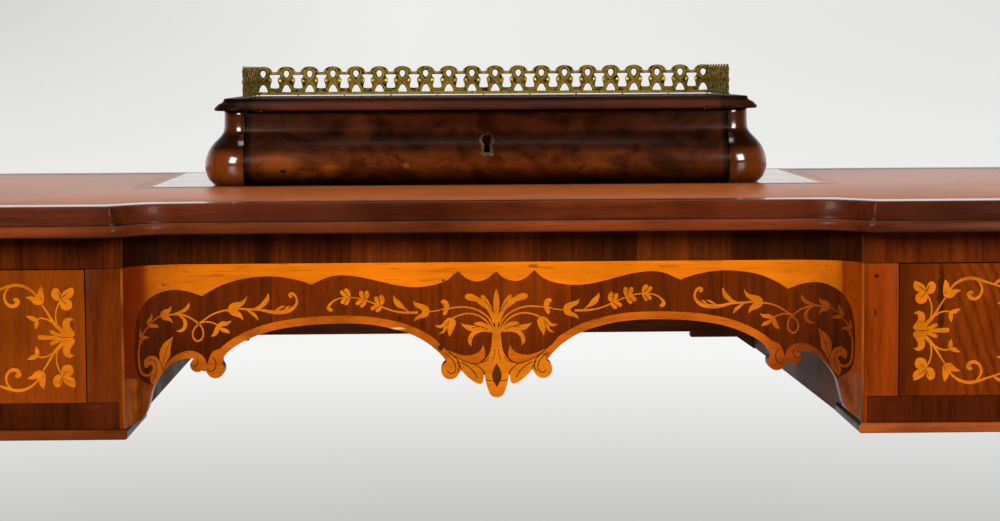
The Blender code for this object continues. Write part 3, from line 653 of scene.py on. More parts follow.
def addCamera():
    yaw = math.radians(view["yaw"])
    pitch = math.radians(view["pitch"])
    roll = math.radians(view["roll"])
    ahead = Vector((math.sin(yaw) * math.cos(pitch), math.cos(yaw) * math.cos(pitch), -math.sin(pitch)))
    right = Vector((math.cos(yaw), -math.sin(yaw), 0))
    above = right.cross(ahead)
    right, above = (
        math.cos(roll) * right + math.sin(roll) * above, math.cos(roll) * above - math.sin(roll) * right)
    bpy.ops.object.camera_add(location=view["place"])
    camera = bpy.context.object
    camera.rotation_euler = Matrix((right, above, -ahead)).transposed().to_euler()
    camera.data.lens = view["lens"]
    camera.data.sensor_width = view["sensor"]
    camera.data.clip_end = 60
    bpy.context.scene.camera = camera


# Studio: pale floor, white behind the table, two large soft lamps in front

studio = {
    "floorRadius": 2.3, "floorColour": (0.70, 0.70, 0.695),
    # each lamp: place, aim, width, power and height to width
    "leftLamp": ((-1.9, -2.3, 1.9), (0, 0, 0.7), 0.9, 84, 1.3),
    "rightLamp": ((2.0, -2.2, 1.8), (0, 0, 0.7), 0.9, 74, 1.3),
    "topLamp": ((0, 0.3, 2.9), (0, 0.1, 0.7), 1.6, 34, 1.0),
    "seen": ((0.0, (0.50, 0.50, 0.495)), (0.19, (0.56, 0.56, 0.555)), (0.21, (0.595, 0.595, 0.59)),
             (0.253, (0.722, 0.722, 0.71)), (0.31, (0.925, 0.925, 0.912)), (0.40, (0.86, 0.86, 0.85)),
             (0.459, (0.84, 0.84, 0.83)), (0.55, (0.84, 0.84, 0.83)), (0.70, (0.74, 0.74, 0.735))),
    "sides": ((0.26, 0.66), (0.48, 1.02), (0.74, 0.88)),
    "sidesShow": ((0.21, 0), (0.40, 0.05), (0.459, 0.2), (0.5315, 0.7), (0.60, 1)),
    "behind": ((0.0, 0.018), (0.50, 0.03), (0.62, 0.12), (0.80, 0.62), (0.95, (0.92, 0.92, 0.91))),
}


def addLamp(name, place, aim, size, power, ratio):
    bpy.ops.object.light_add(type="AREA", location=place)
    lamp = bpy.context.object
    lamp.name = name
    lamp.data.shape = "RECTANGLE"
    lamp.data.size = size
    lamp.data.size_y = size * ratio
    lamp.data.energy = power
    lamp.rotation_euler = (Vector(aim) - Vector(place)).to_track_quat("-Z", "Y").to_euler()
    lamp.visible_camera = False


def addStudio():
    for name in ("leftLamp", "rightLamp", "topLamp"):
        addLamp(name, *studio[name])
    bpy.ops.mesh.primitive_circle_add(vertices=96, radius=studio["floorRadius"], fill_type="NGON")
    floor = bpy.context.object
    floor.name = "floor"
    material, tree, shader = startMaterial("paleFloor", Roughness=0.9, Specular_IOR_Level=0.1)
    coords = objectPlace(tree)
    grain = noiseNode(tree, coords, 3.0, 2.0).outputs["Fac"]
    colour = studio["floorColour"]
    tone = rampNode(tree, grain, ((0.3, scaled(colour, 0.97)), (0.7, scaled(colour, 1.02))))
    tree.links.new(tone, shader.inputs["Base Color"])
    reach = vectorNode(tree, "LENGTH", coords).outputs["Value"]
    fade = addNode(tree, "ShaderNodeMapRange", {
        "Value": reach, "From Min": 1.1, "From Max": studio["floorRadius"] - 0.05, "To Min": 1.0,
        "To Max": 0.0})
    fade.interpolation_type = "SMOOTHSTEP"
    tree.links.new(fade.outputs["Result"], shader.inputs["Alpha"])
    floor.data.materials.append(material)


def addWorld():
    world = bpy.data.worlds.new("studio")
    bpy.context.scene.world = world
    world.use_nodes = True
    tree = world.node_tree
    tree.nodes.clear()
    direction = addNode(tree, "ShaderNodeTexCoord").outputs["Generated"]
    parts = addNode(tree, "ShaderNodeSeparateXYZ", {0: direction}).outputs
    # what the camera sees: pale all round, a little greyer low down and at the sides
    rise = mathNode(tree, "ADD", mathNode(tree, "MULTIPLY", parts["Z"], 1.6), 0.5)
    across = mathNode(tree, "ADD", parts["X"], 0.5)
    seen = mixNode(
        tree, "MULTIPLY", rampNode(tree, rise, studio["sidesShow"]), rampNode(tree, rise, studio["seen"]),
        rampNode(tree, across, studio["sides"]))
    # what lights and mirrors: a white sweep behind the table, dim in front of it and overhead
    depth = mathNode(tree, "ADD", mathNode(tree, "MULTIPLY", parts["Y"], 0.5), 0.5)
    overhead = rampNode(tree, parts["Z"], ((0.12, 1), (0.45, 0.12)))
    behind = mixNode(tree, "MULTIPLY", 1.0, rampNode(tree, depth, studio["behind"]), overhead)
    path = addNode(tree, "ShaderNodeLightPath")
    tone = mixNode(tree, "MIX", path.outputs["Is Camera Ray"], behind, seen)
    back = addNode(tree, "ShaderNodeBackground", {"Color": tone, "Strength": 1.0})
    out = addNode(tree, "ShaderNodeOutputWorld")
    tree.links.new(back.outputs[0], out.inputs["Surface"])


# Plan of the top. Half sizes come from the frame, the kneehole from the apron.

mouldLow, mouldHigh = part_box("front_edge_moulding")
plan = {
    "halfWidth": mouldHigh.x, "front": mouldLow.y, "back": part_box("back_edge_moulding")[1].y,
    "recess": 0.034, "turnPlace": 0.286, "turn": 0.012, "covePlace": 0.2333, "cove": 0.040, "lean": 50,
    "tightest": 0.0004, "edgeWidth": 0.018, "height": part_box("top_board")[1].z, "carcaseTop": mouldLow.z,
    "joint": 0.0003,
}
coveSteps = 28
turnSteps = 10


def topOutline(inset):
    # anticlockwise from the front left corner; the recess opens with a round turn, a slope and a cove
    half = plan["halfWidth"] - inset
    front = plan["front"] + inset
    back = plan["back"] - inset
    lean = plan["lean"]
    turn = max(plan["turn"] - inset, plan["tightest"])
    outward = (inset + turn - plan["turn"]) * math.tan(math.radians(lean / 2))
    cove = arcRun((plan["covePlace"], plan["front"] + plan["recess"] - plan["cove"]), plan["cove"] + inset,
                  90, 90 - lean, coveSteps)
    cove += arcRun((plan["turnPlace"] + outward, front + turn), turn, 270 - lean, 270, turnSteps)
    middle = [(cove[0][0] * share, cove[0][1]) for share in (-0.6, -0.2, 0.2, 0.6)]
    return [(-half, front)] + [(-x, y) for x, y in reversed(cove)] + middle + cove + [
        (half, front), (half, back), (-half, back)]


edge = {
    # setback from the outermost line and drop below the top: arris, shallow hollow and quirk over the bead
    "hollow": ((9.4, 0.0), (8.7, 0.2), (8.2, 0.8), (7.95, 1.8), (7.7, 3.4), (7.2, 5.6), (6.4, 7.9),
               (5.4, 10.1), (4.4, 12.0), (3.9, 13.0), (3.9, 13.7)),
    "beadTop": 9.0, "beadReach": 2.9, "beadSteps": 10, "beadTurn": 84, "beadFlat": 0.99, "footSetback": 3.2,
}


def edgeProfile():
    points = [(plan["edgeWidth"], plan["carcaseTop"]), (plan["edgeWidth"], plan["height"])]
    points += [(setback * mm, plan["height"] - drop * mm) for setback, drop in edge["hollow"]]
    radius = edge["beadTop"] * mm / 2
    middle = plan["carcaseTop"] + radius
    for i in range(edge["beadSteps"] + 1):
        angle = math.radians(edge["beadTurn"] * (1 - 2 * i / edge["beadSteps"]))
        height = middle + radius * math.sin(angle) * edge["beadFlat"]
        points.append((edge["beadReach"] * mm * (1 - math.cos(angle)), height))
    points.append((edge["footSetback"] * mm, plan["carcaseTop"]))
    return points


def addEdgeRun(first, last, name, material, node):
    profile = edgeProfile()
    outlines = [topOutline(inset) for inset, height in profile]
    count = len(outlines[0])
    rings = []
    for i in range(first, last + 1):
        here = Vector(outlines[-1][i % count])
        shift = Vector((0, 0))
        if i in (first, last):
            beside = Vector(outlines[-1][(i + (1 if i == first else -1)) % count])
            shift = (beside - here).normalized() * plan["joint"]
        ring = []
        for outline, (inset, height) in zip(outlines, profile):
            spot = Vector(outline[i % count]) + shift
            ring.append((spot.x, spot.y, height))
        rings.append(ring)
    handOver(growRings(rings), name, material, (node,), 28)


def addTopEdges():
    end = len(topOutline(0)) - 3
    spans = (("front", 0, end, "mouldingWood"), ("right", end, end + 1, "mouldingWoodSide"),
             ("back", end + 1, end + 2, "mouldingWood"), ("left", end + 2, end + 3, "mouldingWoodSide"))
    for word, first, last, finish in spans:
        addEdgeRun(first, last, word + "Moulding", wood[finish], word + "_edge_moulding")


# Kneehole apron. Places below are in millimetres: across from its middle, and height above the floor.

apron = {
    "frontY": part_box("kneehole_apron")[0].y, "half": 278.0, "coveWidth": 50.0, "coveDepth": 36.0,
    "board": 15.0, "bandTop": 713.0, "top": 736.7, "bottom": 591.9, "fillet": 3.0, "shift": 2.7,
    "tilt": 0.006, "strip": (277.0, 279.2), "reliefEnd": 0.2725, "sideFade": (60, 4), "topFade": 8,
    "sprayStart": 145, "sprayShift": 5.0, "sprayFade": (240, 30),
    "foot": ((278, 591.9), (272.5, 593.6), (268, 596.6), (264.6, 602.5), (262.3, 611.5), (260.3, 620),
             (256.3, 627.5), (251, 634), (245.5, 638.6), (239.5, 641.2), (233.8, 641.8)),
    "smallScroll": ((228.8, 636.4), 5.2, 72, -128),
    "bigScroll": ((215.4, 633.5), 7.0, -15, -222),
    "arch": ((210.4, 640.5), (207, 645.4), (200, 650.9), (190, 656.3), (179, 660.5), (167, 663.5),
             (152, 665.8), (136, 667.0), (119, 667.4), (103, 666.8), (91, 665.3), (80.5, 663), (70, 660),
             (60, 655.6), (50.5, 649.5), (42.8, 642.4), (38.4, 636.6)),
    "centreScroll": ((35.6, 630.2), 7.1, 52, -158),
    "leafLobe": ((27.2, 630.0), (22.5, 624.8), (17.5, 621.0), (13.6, 619.2), (11.0, 620.0), (10.2, 623.4),
                 (9.5, 626.6)),
    "tip": ((8.9, 623.4), (7.9, 618.6), (6.2, 613.4), (4.6, 610.4), (2.2, 609.0), (0, 608.7)),
    "borderWidth": 6.0,
}


def handPlace(x, z):
    # the hand-cut work sits a little to one side and rises a little across the kneehole
    fade = apron["sideFade"][0 if x < 0 else 1]
    side = max(0.0, min(1.0, (apron["half"] - abs(x)) / fade))
    rise = apron["tilt"] * x * side * max(0.0, min(1.0, (apron["bandTop"] - z) / apron["topFade"]))
    return x + apron["shift"] * side, z + rise


def inlayPlace(x, z):
    # the outer sprays sit further out on the right than on the left
    shift = apron["shift"]
    if abs(x) > apron["sprayStart"]:
        start, length = apron["sprayFade"]
        shift = 0.0 if x < 0 else apron["sprayShift"] - max(0.0, min(1.0, (x - start) / length))
    return x + shift, z + apron["tilt"] * x


def apronSpot(x, z, lift=0.0):
    # a place on the hollow front of the apron, lifted off it along its normal; millimetres in, metres out
    flat = apron["half"] - apron["coveWidth"]
    across = min(max((abs(x) - flat) / apron["coveWidth"], 0.0), 1.0)
    deep = math.sqrt(max(1 - across * across, 0.0))
    side = 1 if x >= 0 else -1
    normal = Vector((-side * across / apron["coveWidth"], -deep / apron["coveDepth"]))
    normal.normalize()
    y = apron["frontY"] / mm + apron["coveDepth"] * deep
    return Vector(((x + normal.x * lift) * mm, (y + normal.y * lift) * mm, z * mm))


def scrollRun(key, steps=16):
    centre, radius, start, end = apron[key]
    return arcRun(centre, radius, start, end, steps)


def apronRuns():
    # lower edge of the right half, from the foot to the pendant's tip
    return {
        "foot": smoothRun(apron["foot"], 3), "small": scrollRun("smallScroll"),
        "big": scrollRun("bigScroll"), "arch": smoothRun(apron["arch"], 3),
        "centre": scrollRun("centreScroll"), "lobe": smoothRun(apron["leafLobe"], 3),
        "tip": smoothRun(apron["tip"], 3),
    }


def lowerEdge():
    runs = apronRuns()
    points = []
    for key in ("foot", "small", "big", "arch", "centre", "lobe", "tip"):
        points += runs[key]
    return points


def handLoop(points):
    return [handPlace(x, z) for x, z in points]


def coveLines():
    flat = apron["half"] - apron["coveWidth"]
    return [flat + apron["coveWidth"] * math.sin(math.radians(90 * i / coveSteps)) for i in range(coveSteps)]


def addApron():
    spare = 0.01
    half = apron["half"] + apron["fillet"]
    outline = [(half, apron["top"]), (half, apron["bottom"])] + lowerEdge()
    outline = handLoop(mirrorRun(outline))
    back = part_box("kneehole_apron")[1].y
    front = apron["frontY"]
    board = standUp(fillLoops([toMetres(outline)], back - front), front, back)
    # the hollow is cut with a quarter cove at each end, and the middle is thinned to a board
    cove = [(x * mm, apronSpot(x, 0).y) for x in coveLines()] + [(apron["half"] * mm, front)]
    hollow = [(apron["half"] * mm, front - spare)] + cove[::-1]
    # the back is hollowed to match, so that the wood keeps one thickness
    rear = [(x, y + apron["board"] * mm) for x, y in cove if x < apron["reliefEnd"]]
    rear += [(apron["reliefEnd"], rear[-1][1]), (apron["reliefEnd"], back + spare)]
    for part in (hollow, rear):
        loop = part + [(-x, y) for x, y in part[::-1]]
        cutAway(board, raisePrism([loop], apron["bottom"] * mm - spare, apron["top"] * mm + spare))
    handOver(board, "apronBoard", wood["cutEdges"], ("kneehole_apron",), 25)


def wrapOnApron(item, lift):
    # bends a flat piece of veneer, drawn in millimetres, onto the hollow front
    editAll(item)
    for x in coveLines():
        for side in (-1, 1):
            bpy.ops.mesh.select_all(action="SELECT")
            bpy.ops.mesh.bisect(plane_co=(side * x, 0, 0), plane_no=(1, 0, 0))
    leaveEdit()
    for vertex in item.data.vertices:
        vertex.co = apronSpot(vertex.co.x, vertex.co.y, lift)
    return item


def thicken(item, thickness):
    # the veneer grows back towards the wood that carries it
    editAll(item)
    bpy.ops.mesh.normals_make_consistent(inside=False)
    leaveEdit()
    facing = sum(polygon.normal.y * polygon.area for polygon in item.data.polygons)
    if facing > 0:
        editAll(item)
        bpy.ops.mesh.flip_normals()
        leaveEdit()
    return applyModifier(item, "SOLIDIFY", thickness=thickness * mm, offset=-1, use_even_offset=False)


def addApronVeneer(name, loops, lift, material):
    item = thicken(wrapOnApron(fillLoops(loops), lift), lift)
    handOver(item, name, material, (), 25)


# Veneers of the apron. The scalloped line runs from the middle outwards, then down the cove.

veneer = {
    "scallop": ((0, 705.9), (2.2, 703.8), (6.2, 700.5), (14.5, 698.2), (22, 700.2), (27, 704.2),
                (29.3, 706.6), (31, 704.6), (34.5, 701.4), (40, 698.4), (48, 696), (59.5, 694.6),
                (70, 695.2), (80, 697), (92, 700), (103, 702.6), (112, 704), (121, 704.4), (130, 702.6),
                (137, 699.4), (141.5, 697.5), (145.5, 699.2), (152, 701.2), (162, 703.2), (173, 704.3),
                (186, 703.7), (199, 701.5), (209, 698), (217.5, 693.6), (223.8, 689.4), (230, 691.8),
                (238, 693.9), (246, 694.5), (254, 692.8), (261.5, 688.6), (266.5, 682.6), (270, 674.6),
                (271.6, 663.5), (272, 650), (271.6, 638), (269.6, 629.5), (265.5, 624.5), (259.4, 621.6)),
    "sharp": (0, 6, 20, 29),
    "satinEnd": ((278, 629.4), (269.8, 627.2), (266, 624), (264, 640), (262, 676), (258.8, 686)),
    "footEnd": ((259.8, 621.8), (264.4, 623.6), (269.6, 627), (278, 629.2)),
    "bandLift": 0.14, "satinLift": 0.12, "fieldLift": 0.18, "borderLift": 0.24, "leafLift": 0.26,
    "inlayLift": 0.30, "petalLift": 0.36, "lineLift": 0.40,
}


def scallopRun():
    points = veneer["scallop"]
    corners = list(veneer["sharp"]) + [len(points) - 1]
    run = []
    for a, b in zip(corners, corners[1:]):
        run += smoothRun(points[a:b + 1], 3)[:-1]
    return run + [points[-1]]


def archOffset(width):
    arch = apronRuns()["arch"]
    upper = []
    for i, (x, z) in enumerate(arch):
        ahead = arch[min(i + 1, len(arch) - 1)]
        behind = arch[max(i - 1, 0)]
        run = Vector((ahead[0] - behind[0], ahead[1] - behind[1])).normalized()
        upper.append((x + run.y * width, z - run.x * width))
    return upper


border = {
    # the light strip dips between the two scrolls and curls up beside the middle stem
    "dip": ((217.0, 647.4), (219.6, 643.2), (221.5, 636.8), (222.9, 641.2), (225.8, 644.9), (230.4, 647.2),
            (236.2, 647.5), (242.4, 645.3), (248.4, 641.0), (253.2, 634.8), (257.2, 627.8), (260.8, 621.4)),
    "curl": ((42.6, 649.0), (36.2, 645.2), (30.6, 642.9), (25.4, 641.5), (20.1, 641.5), (14.9, 643.3),
             (11.8, 646), (10.3, 649.4), (9.2, 645.5), (8.8, 642), (10, 638.4), (13.1, 635.7),
             (16.6, 634.8)),
    "seam": ((16.6, 634.8), (22, 636), (28, 638.6), (33.4, 641.6), (37.2, 640.4), (38.4, 636.6)),
    "trunk": ((0, 665), (2.6, 660), (3.5, 655), (3.9, 650), (4.6, 645.5), (6.4, 641), (9, 637.9),
              (12.9, 635.2), (16.6, 634.8)),
}


def addApronLayers():
    half, top, bandTop = apron["half"], apron["top"], apron["bandTop"]
    band = [(-half, bandTop), (half, bandTop), (half, top), (-half, top)]
    addApronVeneer("apronCrossband", [band], veneer["bandLift"], wood["crossbandVeneer"])
    scallop = scallopRun()
    # satinwood lies above the scalloped line and goes on down the ends of the cove, where painted shade
    # turns it red; redder foot pieces lie below
    inner = [(x, z - 2) for x, z in scallop[::-1] if x < 252 and z > 660]
    satin = mirrorRun([(half, bandTop)] + list(veneer["satinEnd"]) + inner)
    addApronVeneer("apronSatinwood", [satin], veneer["satinLift"], wood["satinwood"])
    foot = [p for p in apronRuns()["foot"] if p[1] < 621] + list(veneer["footEnd"])
    for side, word in ((1, "right"), (-1, "left")):
        piece = handLoop([(side * x, z) for x, z in foot])
        addApronVeneer(word + "FootPiece", [piece], veneer["satinLift"], wood["footVeneer"])
    lower = [p for p in lowerEdge() if p[1] > 620.5 or p[0] < 100]
    field = handLoop(mirrorRun(scallop[::-1]) + mirrorRun(lower)[::-1])
    addApronVeneer("apronField", [field], veneer["fieldLift"], wood["fieldVeneer"])


# Marquetry. Every stroke is a run of places with the width of the piece there, in millimetres.
# It is drawn flat, each stroke on its own level, and then pressed onto the wood.

inlayLevel = 10.0
thinnest = 0.12


def drawStrokes(strokes, steps=4):
    profile = addCurve()
    section = ((-0.5, -0.02), (0, -0.02), (0.5, -0.02), (0.5, 0.02), (0, 0.02), (-0.5, 0.02))
    addSpline(profile.data, section, True)
    item = addCurve("3D")
    curve = item.data
    curve.twist_mode = "Z_UP"
    curve.bevel_mode = "OBJECT"
    curve.bevel_object = profile
    curve.use_fill_caps = True
    for level, stroke in enumerate(strokes):
        run = smoothRun(stroke, steps) if len(stroke) > 2 else stroke
        spline = addSpline(curve, [(x, z, level * inlayLevel) for x, z, width in run])
        for point, (x, z, width) in zip(spline.points, run):
            point.radius = max(width, thinnest)
    pick(item)
    bpy.ops.object.convert(target="MESH")
    bpy.data.objects.remove(profile)
    return bpy.context.object


def pressStrokes(item, spot, lift, spread=0.0004):
    for vertex in item.data.vertices:
        level = round(vertex.co.z / inlayLevel)
        top = vertex.co.z > level * inlayLevel
        vertex.co = spot(vertex.co.x, vertex.co.y, lift + level * spread if top else 0.0)
    return pointOut(item)


def fillWidths(stroke):
    # a width given only at the first place holds all along the stroke
    done = []
    width = 1.2
    for place in stroke:
        width = place[2] if len(place) > 2 else width
        done.append((place[0], place[1], width))
    return done


def mirrorStrokes(strokes):
    return strokes + [
        [(-x, z, width) for x, z, width in stroke] for stroke in strokes if max(p[0] for p in stroke) > 0.6]


outerGroup = (
    # curl at the inner end, with its small spurs and leaves
    ((153.5, 688.2, 2.6), (154.6, 689.6, 3.4), (153.2, 690.6, 2.6), (150.8, 688.8, 1.7), (149.8, 685, 1.8),
     (151, 681.5, 2.2), (155, 678.2, 3.0), (162, 676.6, 3.2), (170, 677, 2.6), (178, 678.8, 1.8),
     (188, 679.3, 1.6), (196, 680, 1.6)),
    ((166, 678, 1.2), (162, 680.4, 1.8), (159, 681.5, 0.4)),
    ((160, 677.5, 1.2), (157, 680.4, 1.6), (155, 681.4, 0.4)),
    ((182, 679.8, 1), (178, 681, 2.6), (174, 684.5, 3.8), (172, 688, 2.6), (171.6, 691.2, 0.3)),
    ((188, 679, 1), (184.5, 676.5, 2.2), (181.5, 674, 2.4), (179.3, 670.8, 0.3)),
    # stem with its loop
    ((200.5, 678.8, 1.5), (206, 678.4, 1.3), (213, 676.3, 1.2), (219, 672.8, 1.2), (225, 668.4, 1.2),
     (229, 663.6, 1.2), (229.4, 658.6, 1.3), (226.4, 655.4, 1.4), (222.8, 657, 1.3), (221.4, 661.4, 1.2),
     (223.2, 666.8, 1.2), (228.8, 671.8, 1.3), (235, 675, 1.5), (241, 676.4, 1.6), (248, 676, 1.2)),
    ((224.5, 669, 1), (219, 670.2, 1.1), (213.5, 669, 1), (210, 667.2, 1.2)),
    ((210.4, 666.6, 2), (206.8, 668.4, 3.6), (203.4, 668.6, 2.8), (200, 670.6, 0.3)),
    ((210, 666.2, 1.6), (206, 663.6, 3.2), (203.4, 662.6, 2.8), (201.2, 661, 0.3)),
    ((210.5, 666.8, 2.2), (211.4, 663.2, 3.6), (213, 660.4, 2.8), (215.6, 658.8, 0.3)),
    ((243, 677, 1), (238, 678.2, 2.2), (234.5, 680, 2.8), (232.6, 682.5, 2.2), (232, 685, 0.3)),
    ((240, 675.5, 1), (236.6, 673, 2), (235, 669.2, 2.8), (236, 665.6, 2.6), (239, 663.3, 1.8),
     (242, 663.8, 0.3)),
    ((252.6, 676, 1), (257, 673.6, 0.9), (260.8, 670.6, 0.9)),
    ((262.8, 670, 1.5), (261.6, 672.6, 2.6), (260, 675, 1.8), (259.8, 678, 0.3)),
    ((262.5, 669, 2), (259.5, 668.5, 3.4), (256.8, 668, 2.2), (254.8, 667, 0.3)),
    ((262, 668.4, 0.8), (265, 664.4, 0.8), (266.8, 660.6, 0.8)),
    ((268, 660, 1.6), (267.6, 663, 1.9), (267.9, 666.6, 0.3)),
    ((267.5, 659, 2.6), (265, 660, 2.6), (261.6, 659.6, 0.3)),
    ((268, 658.6, 2.6), (267.2, 655, 0.4)),
    # the last stem turns under into a volute above the foot
    ((268.2, 657, 1.1), (269.2, 648, 1.3), (268.9, 640, 1.4), (267.6, 633.6, 1.6), (264.2, 630.8, 2),
     (260.8, 632.2, 1.6), (259.4, 635.6, 0.8)),
)
centreGroup = (
    ((0, 660, 1.5), (0, 672, 3.5), (0, 682, 4.8), (0, 688, 3.2), (0, 692.4, 0.3)),
    ((1.5, 668, 1.5), (4.5, 676, 3), (7.6, 682, 4), (10.2, 686, 3.4), (11.2, 687.6, 1.4)),
    ((3, 674, 1.5), (8, 679, 3), (12.4, 681.6, 2.6), (14.2, 682, 1)),
    ((2, 666, 1.5), (5, 675, 2.4), (10, 681.5, 3), (15, 684.5, 4), (19, 686, 5.2), (22, 686.6, 4.6),
     (24, 686.6, 2)),
    ((2, 662, 1.1), (6, 670, 1.2), (14, 676, 1.3), (24, 678.7, 1.3), (36, 678, 1.2), (42.5, 677, 1.1)),
    ((40.8, 673.2, 1.2), (39.8, 674, 3), (38.2, 677.4, 3.2), (38.6, 681, 4.4), (40.6, 682.6, 4.4),
     (42, 682, 1.8)),
    ((43, 676.6, 0.9), (50, 675.6, 0.9), (53, 675.6, 0.9)),
    ((60, 675, 1.8), (68, 675, 1.8), (76, 675.8, 1.3), (84, 678.2, 1.1), (90, 681, 1.1), (97, 683.8, 1),
     (104, 686.2, 1), (111, 687.2, 1), (118, 687, 1), (123.6, 685.2, 1.3), (127.2, 682.2, 1.8),
     (128.4, 679.6, 2.8), (126.8, 678, 3.2), (125.4, 678.4, 1.6)),
    ((67.5, 675.6, 1), (69.5, 677.6, 1.2), (72.4, 679.6, 3.2), (75.2, 682, 4.6), (77.4, 684.8, 3.2),
     (78.3, 686.6, 1.6), (78.4, 688.6, 0.3)),
    # three buds of four blunt lobes
    ((88, 681.6, 2.4), (87.2, 684.6, 3.6), (88.2, 687.4, 3.4), (89, 688.5, 1.8)),
    ((89.4, 681.6, 2.4), (91, 684.2, 3.6), (92, 686.6, 3.3), (92.2, 687.7, 1.8)),
    ((88.2, 681, 2.4), (89.8, 678.4, 3.5), (91.6, 676.9, 3), (92.4, 676.5, 1.6)),
    ((89.4, 681, 2.4), (92.6, 679.7, 3.5), (95, 678.5, 3), (95.9, 678, 1.6)),
    ((100, 685.8, 2.4), (99.2, 688.4, 3.6), (99.2, 691, 3.2), (99.6, 692.2, 1.8)),
    ((101.2, 686, 2.4), (102.8, 688.6, 3.6), (103.4, 691, 3.1), (103.4, 692.2, 1.7)),
    ((100.2, 685, 2.4), (101.6, 682.4, 3.4), (103.2, 680.6, 2.8), (104, 680, 1.4)),
    ((101.4, 685.4, 2.4), (104.2, 684, 3.4), (106.4, 682.4, 2.8), (107, 681.6, 1.4)),
    ((112.6, 688, 2.4), (113.6, 690.8, 3.6), (115, 693, 3.2), (115.6, 693.9, 1.8)),
    ((113.8, 688, 2.4), (116.4, 690, 3.6), (118.4, 691.6, 3), (119.2, 692.2, 1.5)),
    ((112.8, 687, 2.4), (114.2, 684.4, 3.4), (115, 682.4, 2.8), (115.2, 681.5, 1.4)),
    ((114, 687, 2.4), (116.2, 685.2, 3.3), (117.8, 683.4, 2.8), (118.3, 682.4, 1.4)),
    ((2, 660, 1.1), (8, 668, 1.2), (15, 672.5, 1.2), (22, 673.7, 1.2), (30, 672, 1.2), (35, 669, 1.2)),
    ((2, 658.5, 1.5), (6, 662.5, 3), (11, 665, 3.6), (15, 665.8, 2.6), (17.4, 665.6, 0.5)),
    ((6, 661, 2), (14, 661.5, 4), (20, 662.5, 4.4), (24, 664, 2.6), (27, 666, 0.3)),
    ((5, 659.5, 1.5), (10, 660.5, 2), (16, 659.5, 3.2), (19.5, 656, 3.4), (20.5, 652, 2.8),
     (19.2, 648.6, 0.3)),
)


def addBorders():
    runs = apronRuns()
    seam = list(border["seam"])
    low = [p for p in runs["centre"] if p[1] < 636.4 or p[0] > 39] + runs["lobe"] + runs["tip"]
    loop = mirrorRun(smoothRun(border["trunk"], 2) + seam[1:] + low)
    addApronVeneer("pendantLeaves", [handLoop(loop)], veneer["leafLift"], wood["inlayWood"])
    upper = [p for p in archOffset(apron["borderWidth"]) if 45 < p[0] < 212]
    low = [p for p in runs["foot"] if p[1] > 621] + runs["small"] + runs["big"] + runs["arch"]
    dip, curl = border["dip"], border["curl"]
    rise = smoothRun(dip[:3], 2)[:-1] + smoothRun(dip[2:], 2)
    rim = rise[::-1] + upper + smoothRun(curl[:8], 2)[:-1] + smoothRun(curl[7:], 2) + seam[1:-1]
    for side, name in ((1, "rightArchBorder"), (-1, "leftArchBorder")):
        piece = handLoop([(side * x, z) for x, z in rim + low[::-1]])
        addApronVeneer(name, [piece], veneer["borderLift"], wood["borderWood"])


def shapeLoop(runs):
    # runs between sharp points make one closed outline
    loop = []
    for run in runs:
        loop += smoothRun(run, 4)[:-1] if len(run) > 2 else list(run[:-1])
    return loop


def addInlay(name, shapes, strokes, lift, material):
    loops = []
    for runs in shapes:
        loop = shapeLoop(runs)
        loops.append([inlayPlace(x, z) for x, z in loop])
        if max(p[0] for p in loop) > 0.6:
            loops.append([inlayPlace(-x, z) for x, z in loop])
    if loops:
        addApronVeneer(name + "Petals", loops, veneer["petalLift"], material)
    drawn = mirrorStrokes([fillWidths(stroke) for stroke in strokes])
    placed = [[(*inlayPlace(x, z), width) for x, z, width in stroke] for stroke in drawn]
    item = pressStrokes(drawStrokes(placed), apronSpot, lift)
    handOver(item, name, material)


def addMarquetry():
    addBorders()
    addInlay("apronMarquetry", apronPetals, outerGroup + centreGroup, veneer["inlayLift"], wood["inlayWood"])
    addInlay("apronIncisedLines", (), carvedLines, veneer["lineLift"], wood["incisedLines"])
    addInlay("pendantAlmond", (), pendantDark, veneer["lineLift"], wood["almondVeneer"])


